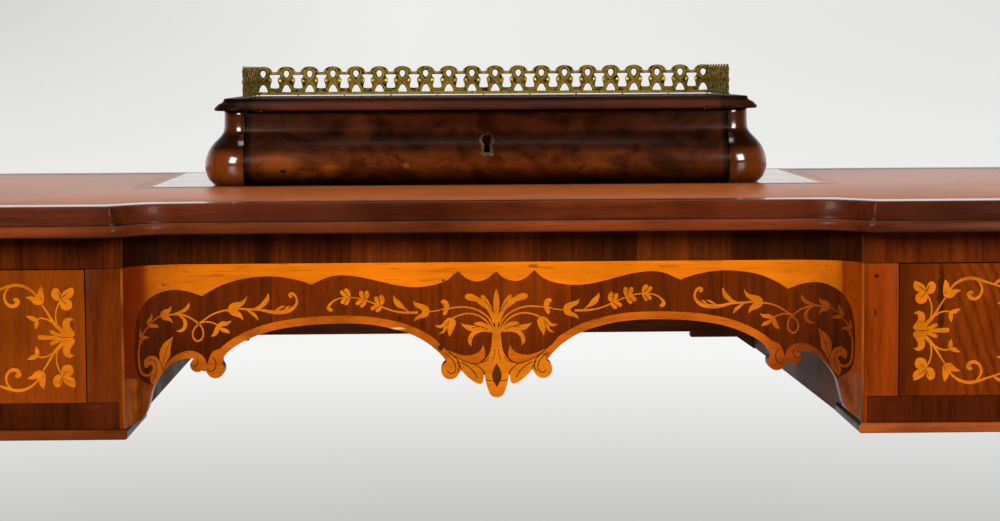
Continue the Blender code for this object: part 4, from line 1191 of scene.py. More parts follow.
apronPetals = (
    # tulip, bell flower, and the two tulips of the outer spray, each as runs between its sharp points
    (((63.8, 684.2), (61.8, 682.8), (58.8, 681.9), (55.6, 681.1), (53, 679.8), (51.6, 677.8),
      (51.4, 675.4), (52.2, 672.9), (54, 671.3), (57, 670.6), (60.4, 669.8), (63.2, 668.2)),
     ((63.2, 668.2), (62, 671.2), (59.8, 673), (57.4, 674.4), (57.2, 676), (58, 677.4), (60.6, 678.6),
      (62.8, 680.6), (63.8, 684.2))),
    (((36.2, 655.8), (34.4, 658.8), (32.6, 662.2), (31.3, 665.8), (31.6, 668.6), (34, 670.6), (37, 670.4),
      (39.6, 668.4), (41.8, 665.8), (44.2, 665), (47.2, 664.8)),
     ((47.2, 664.8), (45, 663.2), (42.4, 662.8), (40.2, 663.8)),
     ((40.2, 663.8), (41.2, 661), (42.8, 659.4), (44.8, 658.2)),
     ((44.8, 658.2), (42, 658.6), (39.4, 660), (37.9, 663.4)),
     ((37.9, 663.4), (37.4, 660.2), (36.2, 655.8))),
    (((187.6, 689.8), (190.2, 686.8), (193.6, 685.2), (197, 684.7), (200.4, 683.4), (202.3, 680.6),
      (202.2, 677.8), (200, 675.4), (196.4, 673.8), (193.4, 672.8), (190.8, 670.6)),
     ((190.8, 670.6), (191.4, 673.6), (192.4, 676), (194.4, 678), (194.6, 680.2), (191.6, 682),
      (189, 684.8), (187.6, 689.8))),
    # leaf and volute above the foot
    (((244.6, 659.3), (248, 657), (251, 654.7), (254.2, 649.6), (254.6, 643.2), (252.9, 637.4),
      (252.4, 635.2)),
     ((252.4, 635.2), (249.6, 640.3), (247, 644.6), (246.3, 651.8), (244.6, 659.3))),
    (((265.7, 640), (265.4, 642.8), (263.4, 644.9), (260.3, 645.7), (256.6, 643.9), (254, 639.4),
      (253.2, 633.8), (255.3, 628.1), (259.8, 623.0)),
     ((259.8, 623.0), (261.6, 626.4), (261.4, 629.6), (259.8, 633.4), (259.3, 636.4), (260.6, 638.6),
      (262.4, 638.4), (263.4, 636.8), (265.2, 637.4), (265.7, 640))),
    (((245.2, 683.2), (247.4, 681), (250.4, 680.4), (253, 678.6), (253.6, 676), (252.4, 673.4),
      (249.6, 672), (247, 671.6), (244.6, 669.4)),
     ((244.6, 669.4), (245.4, 672.6), (247.2, 675), (247.2, 677.2), (245.6, 679.6), (245.2, 683.2))),
)
pendantDark = (
    ((0, 634.6, 0.3), (0, 632, 3.6), (0, 628, 6.6), (0, 624, 7), (0, 620.4, 4.4), (0, 617, 0.3)),
)
carvedLines = (
    # spirals in the scrolls
    ((42.9, 650.6, 0.5), (35.9, 643.7, 0.6), (29.7, 637.5, 0.6), (28.9, 632.6, 0.6), (30.6, 628.4, 0.4)),
    ((39.4, 642.9, 0.4), (34.1, 638.4, 0.6), (31.6, 633, 0.6), (32.4, 628.8, 0.6), (35.8, 627.6, 0.6),
     (38.2, 630, 0.4)),
    ((214.6, 643, 0.5), (212.2, 638.6, 0.6), (213.4, 633.4, 0.6), (217, 631.8, 0.6), (219, 634.4, 0.4)),
    ((226.4, 643.2, 0.5), (226.2, 638.4, 0.6), (229, 635.6, 0.6), (231.4, 637.4, 0.4)),
    ((262.6, 642.2, 0.4), (259.4, 642.2, 0.5), (257.2, 638.4, 0.5), (256.8, 633.8, 0.5), (258.6, 629, 0.5),
     (260.4, 625.4, 0.4)),
    ((252.6, 637.6, 0.4), (250.8, 645, 0.45), (248.4, 652, 0.4), (245.6, 657.6, 0.3)),
    # edges and veins of the leaves over the pendant
    ((10, 638.4, 0.4), (13.1, 635.7, 0.6), (16.6, 634.8, 0.7), (22, 636, 0.6), (28, 638.6, 0.5),
     (33.4, 641.6, 0.4)),
    ((27, 630.4, 0.6), (28.4, 633.6, 0.5), (30.4, 636.8, 0.4)),
    ((27.4, 636.4, 0.5), (21.4, 632.4, 0.6), (17.4, 628.4, 0.6), (14.8, 624, 0.4)),
    ((9.5, 626.4, 1.0), (10.6, 629.6, 0.7), (13.6, 632.4, 0.5), (16.6, 634.4, 0.4)),
    ((8.6, 622.4, 0.5), (4.6, 621.6, 0.5), (0, 621.4, 0.4)),
    ((5.4, 640, 0.4), (8, 637.4, 0.5), (12, 635.4, 0.4)),
    ((1.4, 646, 0.3), (1.8, 641, 0.35), (3.4, 637.4, 0.3)),
    # parting lines in the palmette, its side leaves and the buds
    ((3, 675, 0.35), (6.4, 680, 0.4), (9.2, 683.8, 0.3)),
    ((6.6, 661.2, 0.4), (12.4, 663.4, 0.45), (18.6, 662.6, 0.35)),
    ((40, 664, 0.4), (37.4, 667, 0.35), (36, 668.4, 0.3)),
    ((37.9, 663.6, 0.4), (36.4, 666.6, 0.3)),
    ((89.4, 682.2, 0.45), (89.6, 685.2, 0.5), (90.4, 687.8, 0.4)),
    ((89.4, 680.6, 0.45), (91.8, 678.8, 0.5), (93.8, 677.4, 0.4)),
    ((100.8, 686.2, 0.45), (101, 689, 0.5), (101.4, 691.8, 0.4)),
    ((101.2, 684.8, 0.45), (103.2, 682.8, 0.5), (105, 681, 0.4)),
    ((113.4, 688.4, 0.45), (115.2, 690.6, 0.5), (117.2, 692.6, 0.4)),
    ((113.6, 686.6, 0.45), (115.4, 684.4, 0.5), (116.6, 682, 0.4)),
)


drawerGroup = (
    # blunt middle finger and its neighbours
    ((320.4, 0, 3), (326, 0, 3), (332, 0.1, 3), (338, 0.3, 3.5), (340.2, 0.4, 3.2), (341.2, 0.4, 1.8)),
    ((322.4, 0.8, 2), (326, 2.2, 2.6), (330, 3.9, 2.9), (332, 4.7, 1.8)),
    # stem of the tulip, its side stem, and the stem of the trefoil
    ((320.6, 1.8, 3.4), (324.8, 6.4, 3), (329.4, 11.4, 2.2), (333.6, 18.4, 1.4), (337.8, 24.8, 1.2)),
    ((329, 10.6, 1.3), (334.1, 13.8, 1.2), (338.7, 14.7, 1.2), (341.8, 13.6, 1.1)),
    ((322.4, 3.6, 1.2), (325.3, 6.6, 1.1), (326.9, 10.2, 1.1), (327.7, 15.6, 1.1), (327, 21.1, 1.1),
     (324.6, 26.6, 1.2), (323.2, 29.4, 1)),
    # scrolling stem from the tulip towards the keyhole, with its curl and leaves
    ((340.6, 30, 1.2), (344.4, 34.6, 1.7), (349.9, 38.2, 2.2), (356.4, 39.6, 2.4), (362.4, 38.7, 2.2),
     (368.4, 36.8, 1.7), (374.4, 34.8, 1.4), (380.4, 32.8, 1.4), (388.6, 29.6, 1.4), (397, 25.2, 1.4),
     (404, 19.4, 1.3), (409, 12.6, 1.3), (412, 6, 1.2)),
    ((361.4, 38.6, 1.2), (364.6, 34.8, 1.5), (365.6, 30.4, 1.9), (363.9, 26, 2.2), (360.4, 23.9, 2.6),
     (357, 24.8, 3.2), (356.4, 27.6, 4.6), (357.9, 28.4, 3.4), (358.8, 28.2, 1.6)),
    ((374.6, 34.6, 1.1), (378.4, 37.4, 2.6), (382.6, 38.4, 2.6), (387.4, 37.2, 0.3)),
    ((386, 30.8, 1.1), (386.4, 26.8, 2.6), (384.4, 23, 3.6), (381, 20.6, 2.8), (377.2, 20.6, 0.3)),
    ((393.4, 27.4, 1.1), (398.4, 29.8, 2.8), (403, 31, 3.4), (407.2, 30.4, 2.4), (411, 32.2, 0.3)),
    ((404, 19.6, 1.1), (402.6, 14.4, 2.4), (399, 10.6, 3.4), (394.6, 9, 2.6), (390.6, 10.4, 0.3)),
    ((409, 12.6, 1.1), (413.6, 16.4, 2.4), (415.4, 21, 3), (414.2, 25.4, 0.3)),
    ((412, 6.4, 1.6), (414.4, 3.4, 2.8), (413.6, 0.3, 2)),
)
drawerPetals = (
    # lobes of the trefoil that do not touch are filled together
    ((((323.8, 29.6), (323.8, 33), (325.2, 36.4), (327.8, 37.4), (330.2, 35.4), (330.6, 32), (328.8, 28.8),
       (325.8, 27.6)),
      ((325.8, 27.6), (324.6, 28.4), (323.8, 29.6))),
     (((337.5, 38.7), (336.4, 34.1), (336.1, 29.4), (336.9, 26.2), (339.6, 24.6), (343.4, 25.3),
       (346.1, 28.1), (350, 30.4)),
      ((350, 30.4), (346.1, 31.4), (343.2, 30.8), (341.5, 31.5), (340.6, 35), (339.2, 37.3), (337.5, 38.7))),
     (((349.9, 16.5), (346.1, 16.6), (342.4, 15.3), (340.4, 13.6)),
      ((340.4, 13.6), (343.4, 12.4), (346.8, 13.6), (349.9, 16.5))),
     (((322.4, 0.2), (322, 2.7), (322.3, 6.4), (322.8, 10.1), (322, 12.9), (319.7, 14.7), (316.6, 14.9),
       (313.8, 12.8)),
      ((313.8, 12.8), (316.2, 12.9), (317.4, 11), (317.2, 8.6), (315.7, 6.2), (314.2, 4.2), (313.8, 1.9),
       (315.4, 0.2)),
      ((315.4, 0.2), (322.4, 0.2)))),
    ((((323.6, 29), (322.4, 33.6), (318.7, 36.4), (314.6, 37.9)),
      ((314.6, 37.9), (313.6, 34.1), (315.4, 30.6), (319.2, 29), (323.6, 29))),
     (((342.7, 6.1), (343.6, 9.1), (343.5, 11.9), (341.3, 13.8)),
      ((341.3, 13.8), (340.3, 11.4), (341, 8.7), (342.7, 6.1)))),
    ((((323.8, 29.2), (319.8, 29.6), (316.2, 27.8), (315.1, 24.6), (316.4, 21.4), (319.6, 20.3),
       (323, 21.8), (324.4, 25.4), (323.8, 29.2)),),),
)
drawerLines = (
    ((323.7, 29.8, 0.45), (325, 32.4, 0.45), (325.9, 34.8, 0.35)),
    ((323.2, 29.6, 0.45), (320.4, 32, 0.45), (318.2, 33.6, 0.35)),
    ((323, 28.8, 0.45), (321.4, 26.8, 0.45), (319.4, 25.4, 0.35)),
    ((326.4, 0.9, 0.3), (323, 0.1, 0.4), (319.4, 0, 0.35)),
    ((337.6, 27.6, 0.35), (338.6, 30, 0.35)),
)
# heights are measured from the middle line of the left and right drawers
drawerInlay = {
    "middle": 661.5, "centre": 430.35, "rightShift": 2.4, "spread": 0.0003, "petalLift": 0.20,
    "petalStep": 0.03, "petalThickness": 0.18,
}


def drawerSpot(x, z, lift):
    return Vector((x * mm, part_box("left_drawer_front")[0].y - lift * mm, z * mm))


def fourWays(points, side):
    # the same work stands at both ends of a drawer, above and below its middle line
    ways = []
    shift = drawerInlay["rightShift"] if side > 0 else 0
    for up in (1, -1):
        if up < 0 and max(abs(p[1]) for p in points) < 1:
            continue
        near = [(p[0] + shift, drawerInlay["middle"] + up * p[1], *p[2:]) for p in points]
        ways.append([(side * p[0], *p[1:]) for p in near])
        ways.append([(side * (2 * drawerInlay["centre"] - p[0]), *p[1:]) for p in near])
    return ways


def addDrawerMarquetry(side, word):
    drawn = (("Marquetry", drawerGroup, 0.16, "inlayWood", "satinwood"),
             ("IncisedLines", drawerLines, 0.30, "incisedLines", "walnut_veneer"))
    for kind, group, lift, finish, slotName in drawn:
        full = []
        for stroke in group:
            full += fourWays(fillWidths(stroke), side)
        item = pressStrokes(drawStrokes(full), drawerSpot, lift, drawerInlay["spread"])
        handOver(item, word + "Drawer" + kind, wood[finish], bodyName=word + "_drawer")
    layers = []
    for level, petals in enumerate(drawerPetals):
        loops = []
        for runs in petals:
            loops += fourWays(shapeLoop(runs), side)
        item = fillLoops(loops)
        lift = drawerInlay["petalLift"] + level * drawerInlay["petalStep"]
        for vertex in item.data.vertices:
            vertex.co = drawerSpot(vertex.co.x, vertex.co.y, lift)
        layers.append(thicken(item, drawerInlay["petalThickness"]))
    handOver(joinAll(layers), word + "DrawerPetals", wood["inlayWood"],
             bodyName=word + "_drawer")


# Boards kept to the shape of the frame, with eased edges

def titled(nodeName):
    # left_top_rail becomes leftTopRail
    first, *others = nodeName.split("_")
    return first + "".join(other.title() for other in others)


def softCopy(nodeName, finish, width=0.0004):
    item = copyOf(nodes[nodeName])
    bodyName = item.get("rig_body") or "table"
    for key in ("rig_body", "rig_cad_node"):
        if key in item:
            del item[key]
    bpy.ops.object.parent_clear(type="CLEAR_KEEP_TRANSFORM")
    mergeDoubles(item, 0.000005)
    editAll(item)
    bpy.ops.mesh.dissolve_limited(angle_limit=math.radians(1))
    bpy.ops.mesh.normals_make_consistent(inside=False)
    leaveEdit()
    softEdges(item, width, 2, 32)
    handOver(item, titled(nodeName), finish, (nodeName,), bodyName=bodyName)


pairedBoards = (
    # board, finishes on the left and on the right, slot
    ("top_rail", "railVeneer", "railVeneer", "dark_walnut"),
    ("bottom_rail", "lowRailLeft", "lowRailRight", "walnut"),
    ("inner_stile", "stileWoodLeft", "stileWoodRight", "walnut"),
    ("inner_panel", "kneeholePanels", "kneeholePanels", "dark_walnut"),
    ("outer_panel", "carcaseWalnut", "carcaseWalnut", "walnut"),
    ("drawer_runner", "drawerLining", "drawerLining", "drawer_lining"),
    ("drawer_front", "drawerVeneerLeft", "drawerVeneerRight", "walnut_veneer"),
)


def addPlainBoards():
    for board, leftFinish, rightFinish, slotName in pairedBoards:
        softCopy("left_" + board, wood[leftFinish])
        softCopy("right_" + board, wood[rightFinish])
    for board in ("base", "back"):
        softCopy("raised_case_" + board, wood["carcaseWalnut"])
    for word in ("left", "right", "upper"):
        for board in ("left_side", "right_side", "back", "bottom"):
            softCopy(word + "_drawer_" + board, wood["drawerLining"])
        softCopy(word + "_lock_case", lockBrass)
        softCopy(word + "_lock_bolt", lockBrass, 0.0002)


# Raised case: swelling drawer front, turned corner blocks, shaped sides and cornice

case = {
    "swell": ((0.0, 0.55), (0.06, 0.78), (0.14, 0.93), (0.22, 0.99), (0.30, 1.0), (0.38, 0.94), (0.46, 0.82),
              (0.52, 0.69), (0.58, 0.51), (0.64, 0.29), (0.70, 0.11), (0.78, 0.02), (1.0, 0.0)),
    "reach": 0.0176, "neckFront": 0.018, "cornerRadius": 0.019, "inner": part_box("right_corner_block")[0].x,
    "steps": 3, "frontThickness": 0.012, "lockGap": 0.0003, "pocketEnd": (0.05, 0.84),
}


def swellLevels(low, high):
    run = smoothRun(case["swell"], case["steps"])
    return [(case["reach"] * max(min(reach, 1.0), 0.0), low + (high - low) * share) for share, reach in run]


def addPrismAlongX(profile, x0, x1):
    return growRings([[(x, y, z) for y, z in profile] for x in (x0, x1)])


def keyholeLoop(middle, radius, half, drop, flare):
    # a round eye over a slot that widens a little downwards, in millimetres
    start = -90 + math.degrees(math.asin(half / radius))
    eye = arcRun((0, middle), radius, start, 180 - start, 20)
    return toMetres(eye + [(-flare, middle - drop), (flare, middle - drop)])


def addUpperDrawer():
    low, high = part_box("upper_drawer_front")
    face = [(case["neckFront"] - reach, z) for reach, z in swellLevels(low.z, high.z)]
    back = case["neckFront"] + case["frontThickness"]
    front = addPrismAlongX(face + [(back, high.z), (back, low.z)], low.x, high.x)
    softEdges(front, 0.0005)
    gap = case["lockGap"]
    lockLow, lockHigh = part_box("upper_lock_case")
    cutAway(front, addBoard([value - gap for value in lockLow], (lockHigh.x + gap, *case["pocketEnd"])))
    plateLow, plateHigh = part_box("upper_keyhole_plate")
    holeZ = (plateLow.z + plateHigh.z) / 2 + (plate["height"] / 2 - plate["head"]) * mm
    hole = standUp(fillLoops([keyholeLoop(0, *plate["cut"])], 0.044), 0, 0)
    hole.data.transform(Matrix.Translation((0, 0.002, holeZ)))
    cutAway(front, hole)
    handOver(front, "upperDrawerFront", wood["caseVeneer"], ("upper_drawer_front",),
             bodyName="upper_drawer")


def addCornerBlocks():
    low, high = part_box("right_corner_block")
    rings = []
    for reach, z in swellLevels(low.z, high.z):
        outline = arcRun((0, 0), case["cornerRadius"] + reach, 0, -90, 18)
        rings.append([(case["inner"], high.y, z)] + [(case["inner"] + x, high.y + y, z) for x, y in outline])
    block = softEdges(growRings(rings))
    other = copyOf(block)
    bpy.ops.transform.resize(value=(-1, 1, 1), center_override=(0, 0, 0))
    pointOut(bakePlace(other))
    handOver(block, "rightCornerBlock", wood["cornerBlockWood"], ("right_corner_block",))
    handOver(other, "leftCornerBlock", wood["cornerBlockWood"], ("left_corner_block",))


def addCaseSides():
    low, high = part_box("right_raised_case_side")
    profile = [(case["inner"] + case["cornerRadius"] + reach, z) for reach, z in swellLevels(low.z, high.z)]
    profile += [(case["inner"], high.z), (case["inner"], low.z)]
    for side, word in ((1, "right"), (-1, "left")):
        item = growRings([[(side * x, y, z) for x, z in profile] for y in (low.y + 0.0001, high.y)])
        handOver(softEdges(item), word + "CaseSide", wood["caseSideVeneer"],
                 (word + "_raised_case_side",))


cornice = {
    "nose": 0.0086, "radius": 0.026, "cornerSteps": 12, "boltPlay": 0.0004, "boltRoom": 0.0064,
    "shares": ((0.24, 0.0), (0.06, 0.02), (0.0, 0.08), (0.0, 0.20), (0.05, 0.27), (0.14, 0.30), (0.20, 0.36),
               (0.30, 0.46), (0.48, 0.56), (0.68, 0.63), (0.84, 0.70), (0.92, 0.80), (0.96, 0.92),
               (1.02, 0.98), (1.14, 1.0)),
}


def addCornice():
    low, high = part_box("cornice_board")
    rings = []
    for insetShare, heightShare in cornice["shares"]:
        inset = cornice["nose"] * insetShare
        z = low.z + (high.z - low.z) * heightShare
        radius = cornice["radius"] - inset
        centre = (high.x - cornice["radius"], low.y + cornice["radius"])
        outline = arcRun(centre, radius, -90, 0, cornice["cornerSteps"]) + [(high.x - inset, high.y)]
        rings.append([(x, y, z) for x, y in outline] + [(-x, y, z) for x, y in reversed(outline)])
    board = growRings(rings)
    boltLow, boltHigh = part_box("upper_lock_bolt")
    play = cornice["boltPlay"]
    cutAway(board, addBoard(
        (boltLow.x - play, boltLow.y - play, low.z - 0.01),
        (boltHigh.x + play, boltHigh.y + play, low.z + cornice["boltRoom"])))
    handOver(board, "corniceBoard", wood["corniceWood"], ("cornice_board",))


# Pierced brass gallery: one column of the fret is modelled, then repeated into runs

gallery = {
    "half": 10.93, "gap": 0.9, "pin": 1.5, "plate": 0.0009, "ease": 0.0003, "wire": 1.9,
    "crest": ((10.93, 22.4), (9.3, 22.3), (8.5, 23.1), (7.5, 24.8), (5.7, 26.2), (3.2, 27.2), (0, 27.6)),
    "notch": ((10.93, 7.1), (8.4, 7.2), (7, 7.7), (7.0, 9.8), (7.6, 12.2), (8.2, 14.3), (7.8, 16),
              (6.5, 17.6), (6, 19.3), (8, 19.7), (10.93, 19.7)),
    "eye": ((0, 17.1), (1.5, 18.3), (2.4, 20.0), (2.5, 21.6), (1.7, 23.1), (0, 23.7), (-1.7, 23.1),
            (-2.5, 21.6), (-2.4, 20.0), (-1.5, 18.3)),
    "gate": ((-4.4, 3.2), (4.4, 3.2), (3.7, 6), (2, 9.2), (0, 10.5), (-2, 9.2), (-3.7, 6)),
    # raised strands: a crossing pair round the eye and a small scroll over the opening, with bosses between
    "strands": (
        ((-5.6, 4.8), (-4.4, 8.4), (0, 13.6), (3.6, 17.8), (4.6, 21.4), (3.5, 24.6), (0, 26.2)),
        ((5.6, 4.8), (4.4, 8.4), (0, 13.6), (-3.6, 17.8), (-4.6, 21.4), (-3.5, 24.6), (0, 26.2)),
        ((6.8, 23.8), (8.2, 21.8), (9.6, 21), (10.93, 20.9)),
        ((-6.8, 23.8), (-8.2, 21.8), (-9.6, 21), (-10.93, 20.9)),
    ),
    "boss": (6.3, 13.7, 1.7, 2.5, 1.1), "pinEvery": 4,
    "bars": ((1.85, 1.9), (3.2, 1.1)),
}


def galleryUnit():
    half = gallery["half"]
    loop = mirrorRun(
        [(half, gallery["gap"])] + smoothRun(gallery["notch"], 2) + smoothRun(gallery["crest"], 2))
    loops = [toMetres(run) for run in (loop, gallery["eye"], gallery["gate"])]
    item = pointOut(fillLoops(loops, gallery["plate"]))
    # open seams let neighbouring columns grow together
    editAll(item)
    bpy.ops.mesh.select_mode(type="FACE")
    bpy.ops.mesh.select_all(action="DESELECT")
    mesh = bmesh.from_edit_mesh(item.data)
    for face in mesh.faces:
        middle = face.calc_center_median()
        face.select = abs(abs(middle.x) - half * mm) < 0.00001 and abs(face.normal.x) > 0.9
    bmesh.update_edit_mesh(item.data)
    bpy.ops.mesh.delete(type="FACE")
    leaveEdit()
    return item


def wireRun(points, thickness, steps):
    # a round strand through the points, in millimetres, made a mesh
    item = addCurve("3D")
    item.data.bevel_depth = thickness * mm / 2
    item.data.bevel_resolution = 1
    item.data.use_fill_caps = True
    addSpline(item.data, toMetres(smoothRun(points, steps) if len(points) > 2 else points))
    bpy.ops.object.convert(target="MESH")
    return bpy.context.object


def bossPair():
    x, z, wide, tall, deep = gallery["boss"]
    pair = []
    for side in (-1, 1):
        bpy.ops.mesh.primitive_uv_sphere_add(segments=12, ring_count=8, radius=1)
        item = bpy.context.object
        shape = Matrix.Diagonal((wide * mm, tall * mm, deep * mm, 1))
        item.data.transform(Matrix.Translation((side * x * mm, z * mm, 0)) @ shape)
        pair.append(item)
    return pair


def repeatAlong(item, count, merge):
    pitch = 2 * gallery["half"] * mm
    item.data.transform(Matrix.Translation((-pitch * (count - 1) / 2, 0, 0)))
    return applyModifier(
        item, "ARRAY", count=count, use_relative_offset=False, use_constant_offset=True,
        constant_offset_displace=(pitch, 0, 0), use_merge_vertices=merge, merge_threshold=0.00002)


def trimEnds(item, half):
    for side in (-1, 1):
        editAll(item)
        bpy.ops.mesh.bisect(
            plane_co=(side * half, 0, 0), plane_no=(side, 0, 0), use_fill=True, clear_outer=True)
        leaveEdit()
    return item


def galleryRun(length):
    # the fret is centred on the run and cut off at its ends
    half = length / 2
    count = math.ceil(length / (2 * gallery["half"] * mm) - 0.02)
    fret = repeatAlong(galleryUnit(), count, True)
    editAll(fret)
    bpy.ops.mesh.remove_doubles(threshold=0.00002)
    bpy.ops.mesh.fill_holes(sides=0)
    bpy.ops.mesh.normals_make_consistent(inside=False)
    bpy.ops.mesh.dissolve_limited(angle_limit=math.radians(2))
    leaveEdit()
    pointOut(trimEnds(fret, half))
    softEdges(fret, gallery["ease"], 1, 60)
    relief = joinAll([wireRun(points, gallery["wire"], 2) for points in gallery["strands"]] + bossPair())
    repeatAlong(relief, count, False)
    pointOut(trimEnds(relief, half))
    reach = half / mm
    bars = [wireRun(((-reach, z), (reach, z)), size, 1) for z, size in gallery["bars"]]
    # the fret stands on small pins, a little clear of the top
    pinCount = count // gallery["pinEvery"]
    for i in range(-pinCount, pinCount + 1):
        place = i * gallery["pinEvery"] * gallery["half"]
        bars.append(wireRun(((place, 0), (place, 2)), gallery["pin"], 1))
    return fret, joinAll([relief] + bars)


def addGallery():
    low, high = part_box("gallery_back")
    stand = Matrix(((1, 0, 0, 0), (0, 0, -1, (low.y + high.y) / 2), (0, 1, 0, low.z), (0, 0, 0, 1)))
    fret, relief = galleryRun(high.x - low.x)
    for item, kind, metal, replaced in ((fret, "Fret", patinaShadeBrass, ("gallery_back",)),
                                        (relief, "Relief", brass, ())):
        item.data.transform(stand)
        handOver(item, "galleryBack" + kind, metal, replaced, 40)
    low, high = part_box("gallery_right")
    stand = Matrix(((0, 0, 1, (low.x + high.x) / 2), (1, 0, 0, (low.y + high.y) / 2), (0, 1, 0, low.z),
                    (0, 0, 0, 1)))
    # the side runs' strands take the dark brass as well: painted shade
    for item, kind in zip(galleryRun(high.y - low.y), ("Fret", "Relief")):
        item.data.transform(stand)
        other = copyOf(item)
        bpy.ops.transform.translate(value=(-(low.x + high.x), 0, 0))
        for run, word in ((item, "Right"), (other, "Left")):
            replaced = ("gallery_" + word.lower(),) if kind == "Fret" else ()
            handOver(run, "gallery" + word + kind, patinaShadeBrass, replaced, 40)


# Keyhole plates

plate = {
    "head": 6.6, "height": 20.6, "thickness": 0.6, "setIn": 0.0004,
    # radius, half width, drop and flare of the hole in the plate and of the one cut in the wood
    "hole": (4.3, 2.2, 10.6, 2.9), "cut": (4.4, 2.4, 10.5, 2.76),
    "foot": ((-5.0, -1.2), (-5.0, -5.0), (-5.7, -8.6), (-4.8, -10.2), (0, -10.3), (4.8, -10.2), (5.7, -8.6),
             (5.0, -5.0), (5.0, -1.2)),
}


def plateLoops():
    middle = plate["height"] / 2 - plate["head"]
    head = arcRun((0, middle), plate["head"], -38, 218, 26)
    return [toMetres(head + list(plate["foot"])), keyholeLoop(middle, *plate["hole"])]


def addKeyholePlates():
    for word in ("left", "right", "upper"):
        low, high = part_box(word + "_keyhole_plate")
        item = standUp(fillLoops(plateLoops(), plate["thickness"] * mm), 0, 0)
        depth = 0 if word == "upper" else high.y - plate["thickness"] * mm / 2
        item.data.transform(Matrix.Translation(((low.x + high.x) / 2, depth, (low.z + high.z) / 2)))
        if word == "upper":
            # this plate follows the swell of its drawer
            levels = swellLevels(*(corner.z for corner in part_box("upper_drawer_front")))
            editAll(item)
            for height in range(int(low.z / mm), int(high.z / mm) + 1, 2):
                bpy.ops.mesh.select_all(action="SELECT")
                bpy.ops.mesh.bisect(plane_co=(0, 0, height * mm), plane_no=(0, 0, 1))
            leaveEdit()
            for vertex in item.data.vertices:
                vertex.co.y += case["neckFront"] - swellAt(levels, vertex.co.z) - plate["setIn"]
        softEdges(item, 0.0002)
        handOver(item, word + "KeyholePlate", keyholeBrass, (word + "_keyhole_plate",), 40,
                 word + "_drawer")


def swellAt(levels, z):
    for (reach, height), (nextReach, nextHeight) in zip(levels, levels[1:]):
        if height <= z <= nextHeight:
            return reach + (nextReach - reach) * (z - height) / max(nextHeight - height, 1e-9)
    return levels[-1][0]


# Top: polished ground with the leather let into it

leatherShape = {
    "centre": 0.039, "bend": 0.034, "groundHalf": 0.291, "groundDepth": 0.278, "kneeHalf": 0.278,
    "bendSteps": 14, "thickness": 0.0015, "play": 0.0002,
    # two tooled lines along the edge: inset and width
    "tooling": ((0.009, 0.0009), (0.0135, 0.0005)), "toolingDrop": (0.0003, 0.00012),
}


def leatherOutline(inset):
    shape = leatherShape
    low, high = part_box("writing_leather")
    right = high.x - inset
    front = low.y + inset
    back = high.y - inset
    deep = plan["front"] + plan["recess"] + shape["centre"] + inset - front
    ground = shape["groundHalf"] + inset
    start = shape["kneeHalf"] + shape["bend"] / 2
    half = [(ground, high.y - shape["groundDepth"] - inset), (ground, back), (right, back), (right, front)]
    for i in range(shape["bendSteps"] + 1):
        share = i / shape["bendSteps"]
        half.append((start - shape["bend"] * share, front + deep * share * share * (3 - 2 * share)))
    return half + [(-x, y) for x, y in half[::-1]]


def addTop():
    low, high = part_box("top_board")
    play = leatherShape["play"]
    board = raisePrism([topOutline(plan["edgeWidth"] + plan["joint"])], low.z, high.z)
    bed = high.z - leatherShape["thickness"]
    cutAway(board, raisePrism([leatherOutline(-play)], bed, high.z + 0.01))
    handOver(board, "topBoard", wood["topVeneer"], ("top_board",))
    skin = softEdges(raisePrism([leatherOutline(play)], bed, high.z - play), 0.0006, 3)
    handOver(skin, "writingLeather", leather, ("writing_leather",))
    under, over = (high.z - drop for drop in leatherShape["toolingDrop"])
    lines = [raisePrism([leatherOutline(inset), leatherOutline(inset + width)], under, over)
             for inset, width in leatherShape["tooling"]]
    handOver(joinAll(lines), "toolingLines", blindTool, (), 0)


# Foot beads and legs

bead = {"projection": 2.5, "width": 14.7, "round": 2.6, "back": 0.111}


def addFootBeads():
    low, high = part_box("right_foot_bead")
    nose = -bead["projection"] * mm
    inside = (bead["width"] - bead["projection"]) * mm
    radius = bead["round"] * mm
    profile = [(inside, low.z)]
    profile += [(nose + radius + x, low.z + radius + z) for x, z in arcRun((0, 0), radius, 270, 180, 6)]
    profile += [(nose + radius + x, high.z - radius + z) for x, z in arcRun((0, 0), radius, 180, 90, 6)]
    profile += [(inside, high.z)]
    front = low.y - nose
    corner = Vector((apron["half"] * mm, front))
    mitre = (corner, Vector((1, 1)))
    outerEnd = (Vector((high.x, front)), Vector((0, 1)))
    backEnd = (Vector((corner.x, front + bead["back"])), Vector((1, 0)))
    paths = (("FootBead", "beadWood", (outerEnd, mitre)),
             ("FootBeadReturn", "beadReturnShadedWood", (mitre, backEnd)))
    for side, word in ((1, "right"), (-1, "left")):
        for kind, finish, path in paths:
            rings = []
            for spot, inwards in path:
                places = [(spot + inwards * depth, z) for depth, z in profile]
                rings.append([(side * place.x, place.y, z) for place, z in places])
            replaced = (word + "_foot_bead",) if kind == "FootBead" else ()
            handOver(growRings(rings), word + kind, wood[finish], replaced, 35)


lining = {
    "face": 0.2785, "front": -0.2217, "beadBack": -0.1705, "leftRise": 0.0045, "rightTaper": 0.011,
    "bracket": (0.0165, 0.0118), "railRise": 0.0056, "railSteps": (-0.232, 0.205), "play": 0.0003,
}


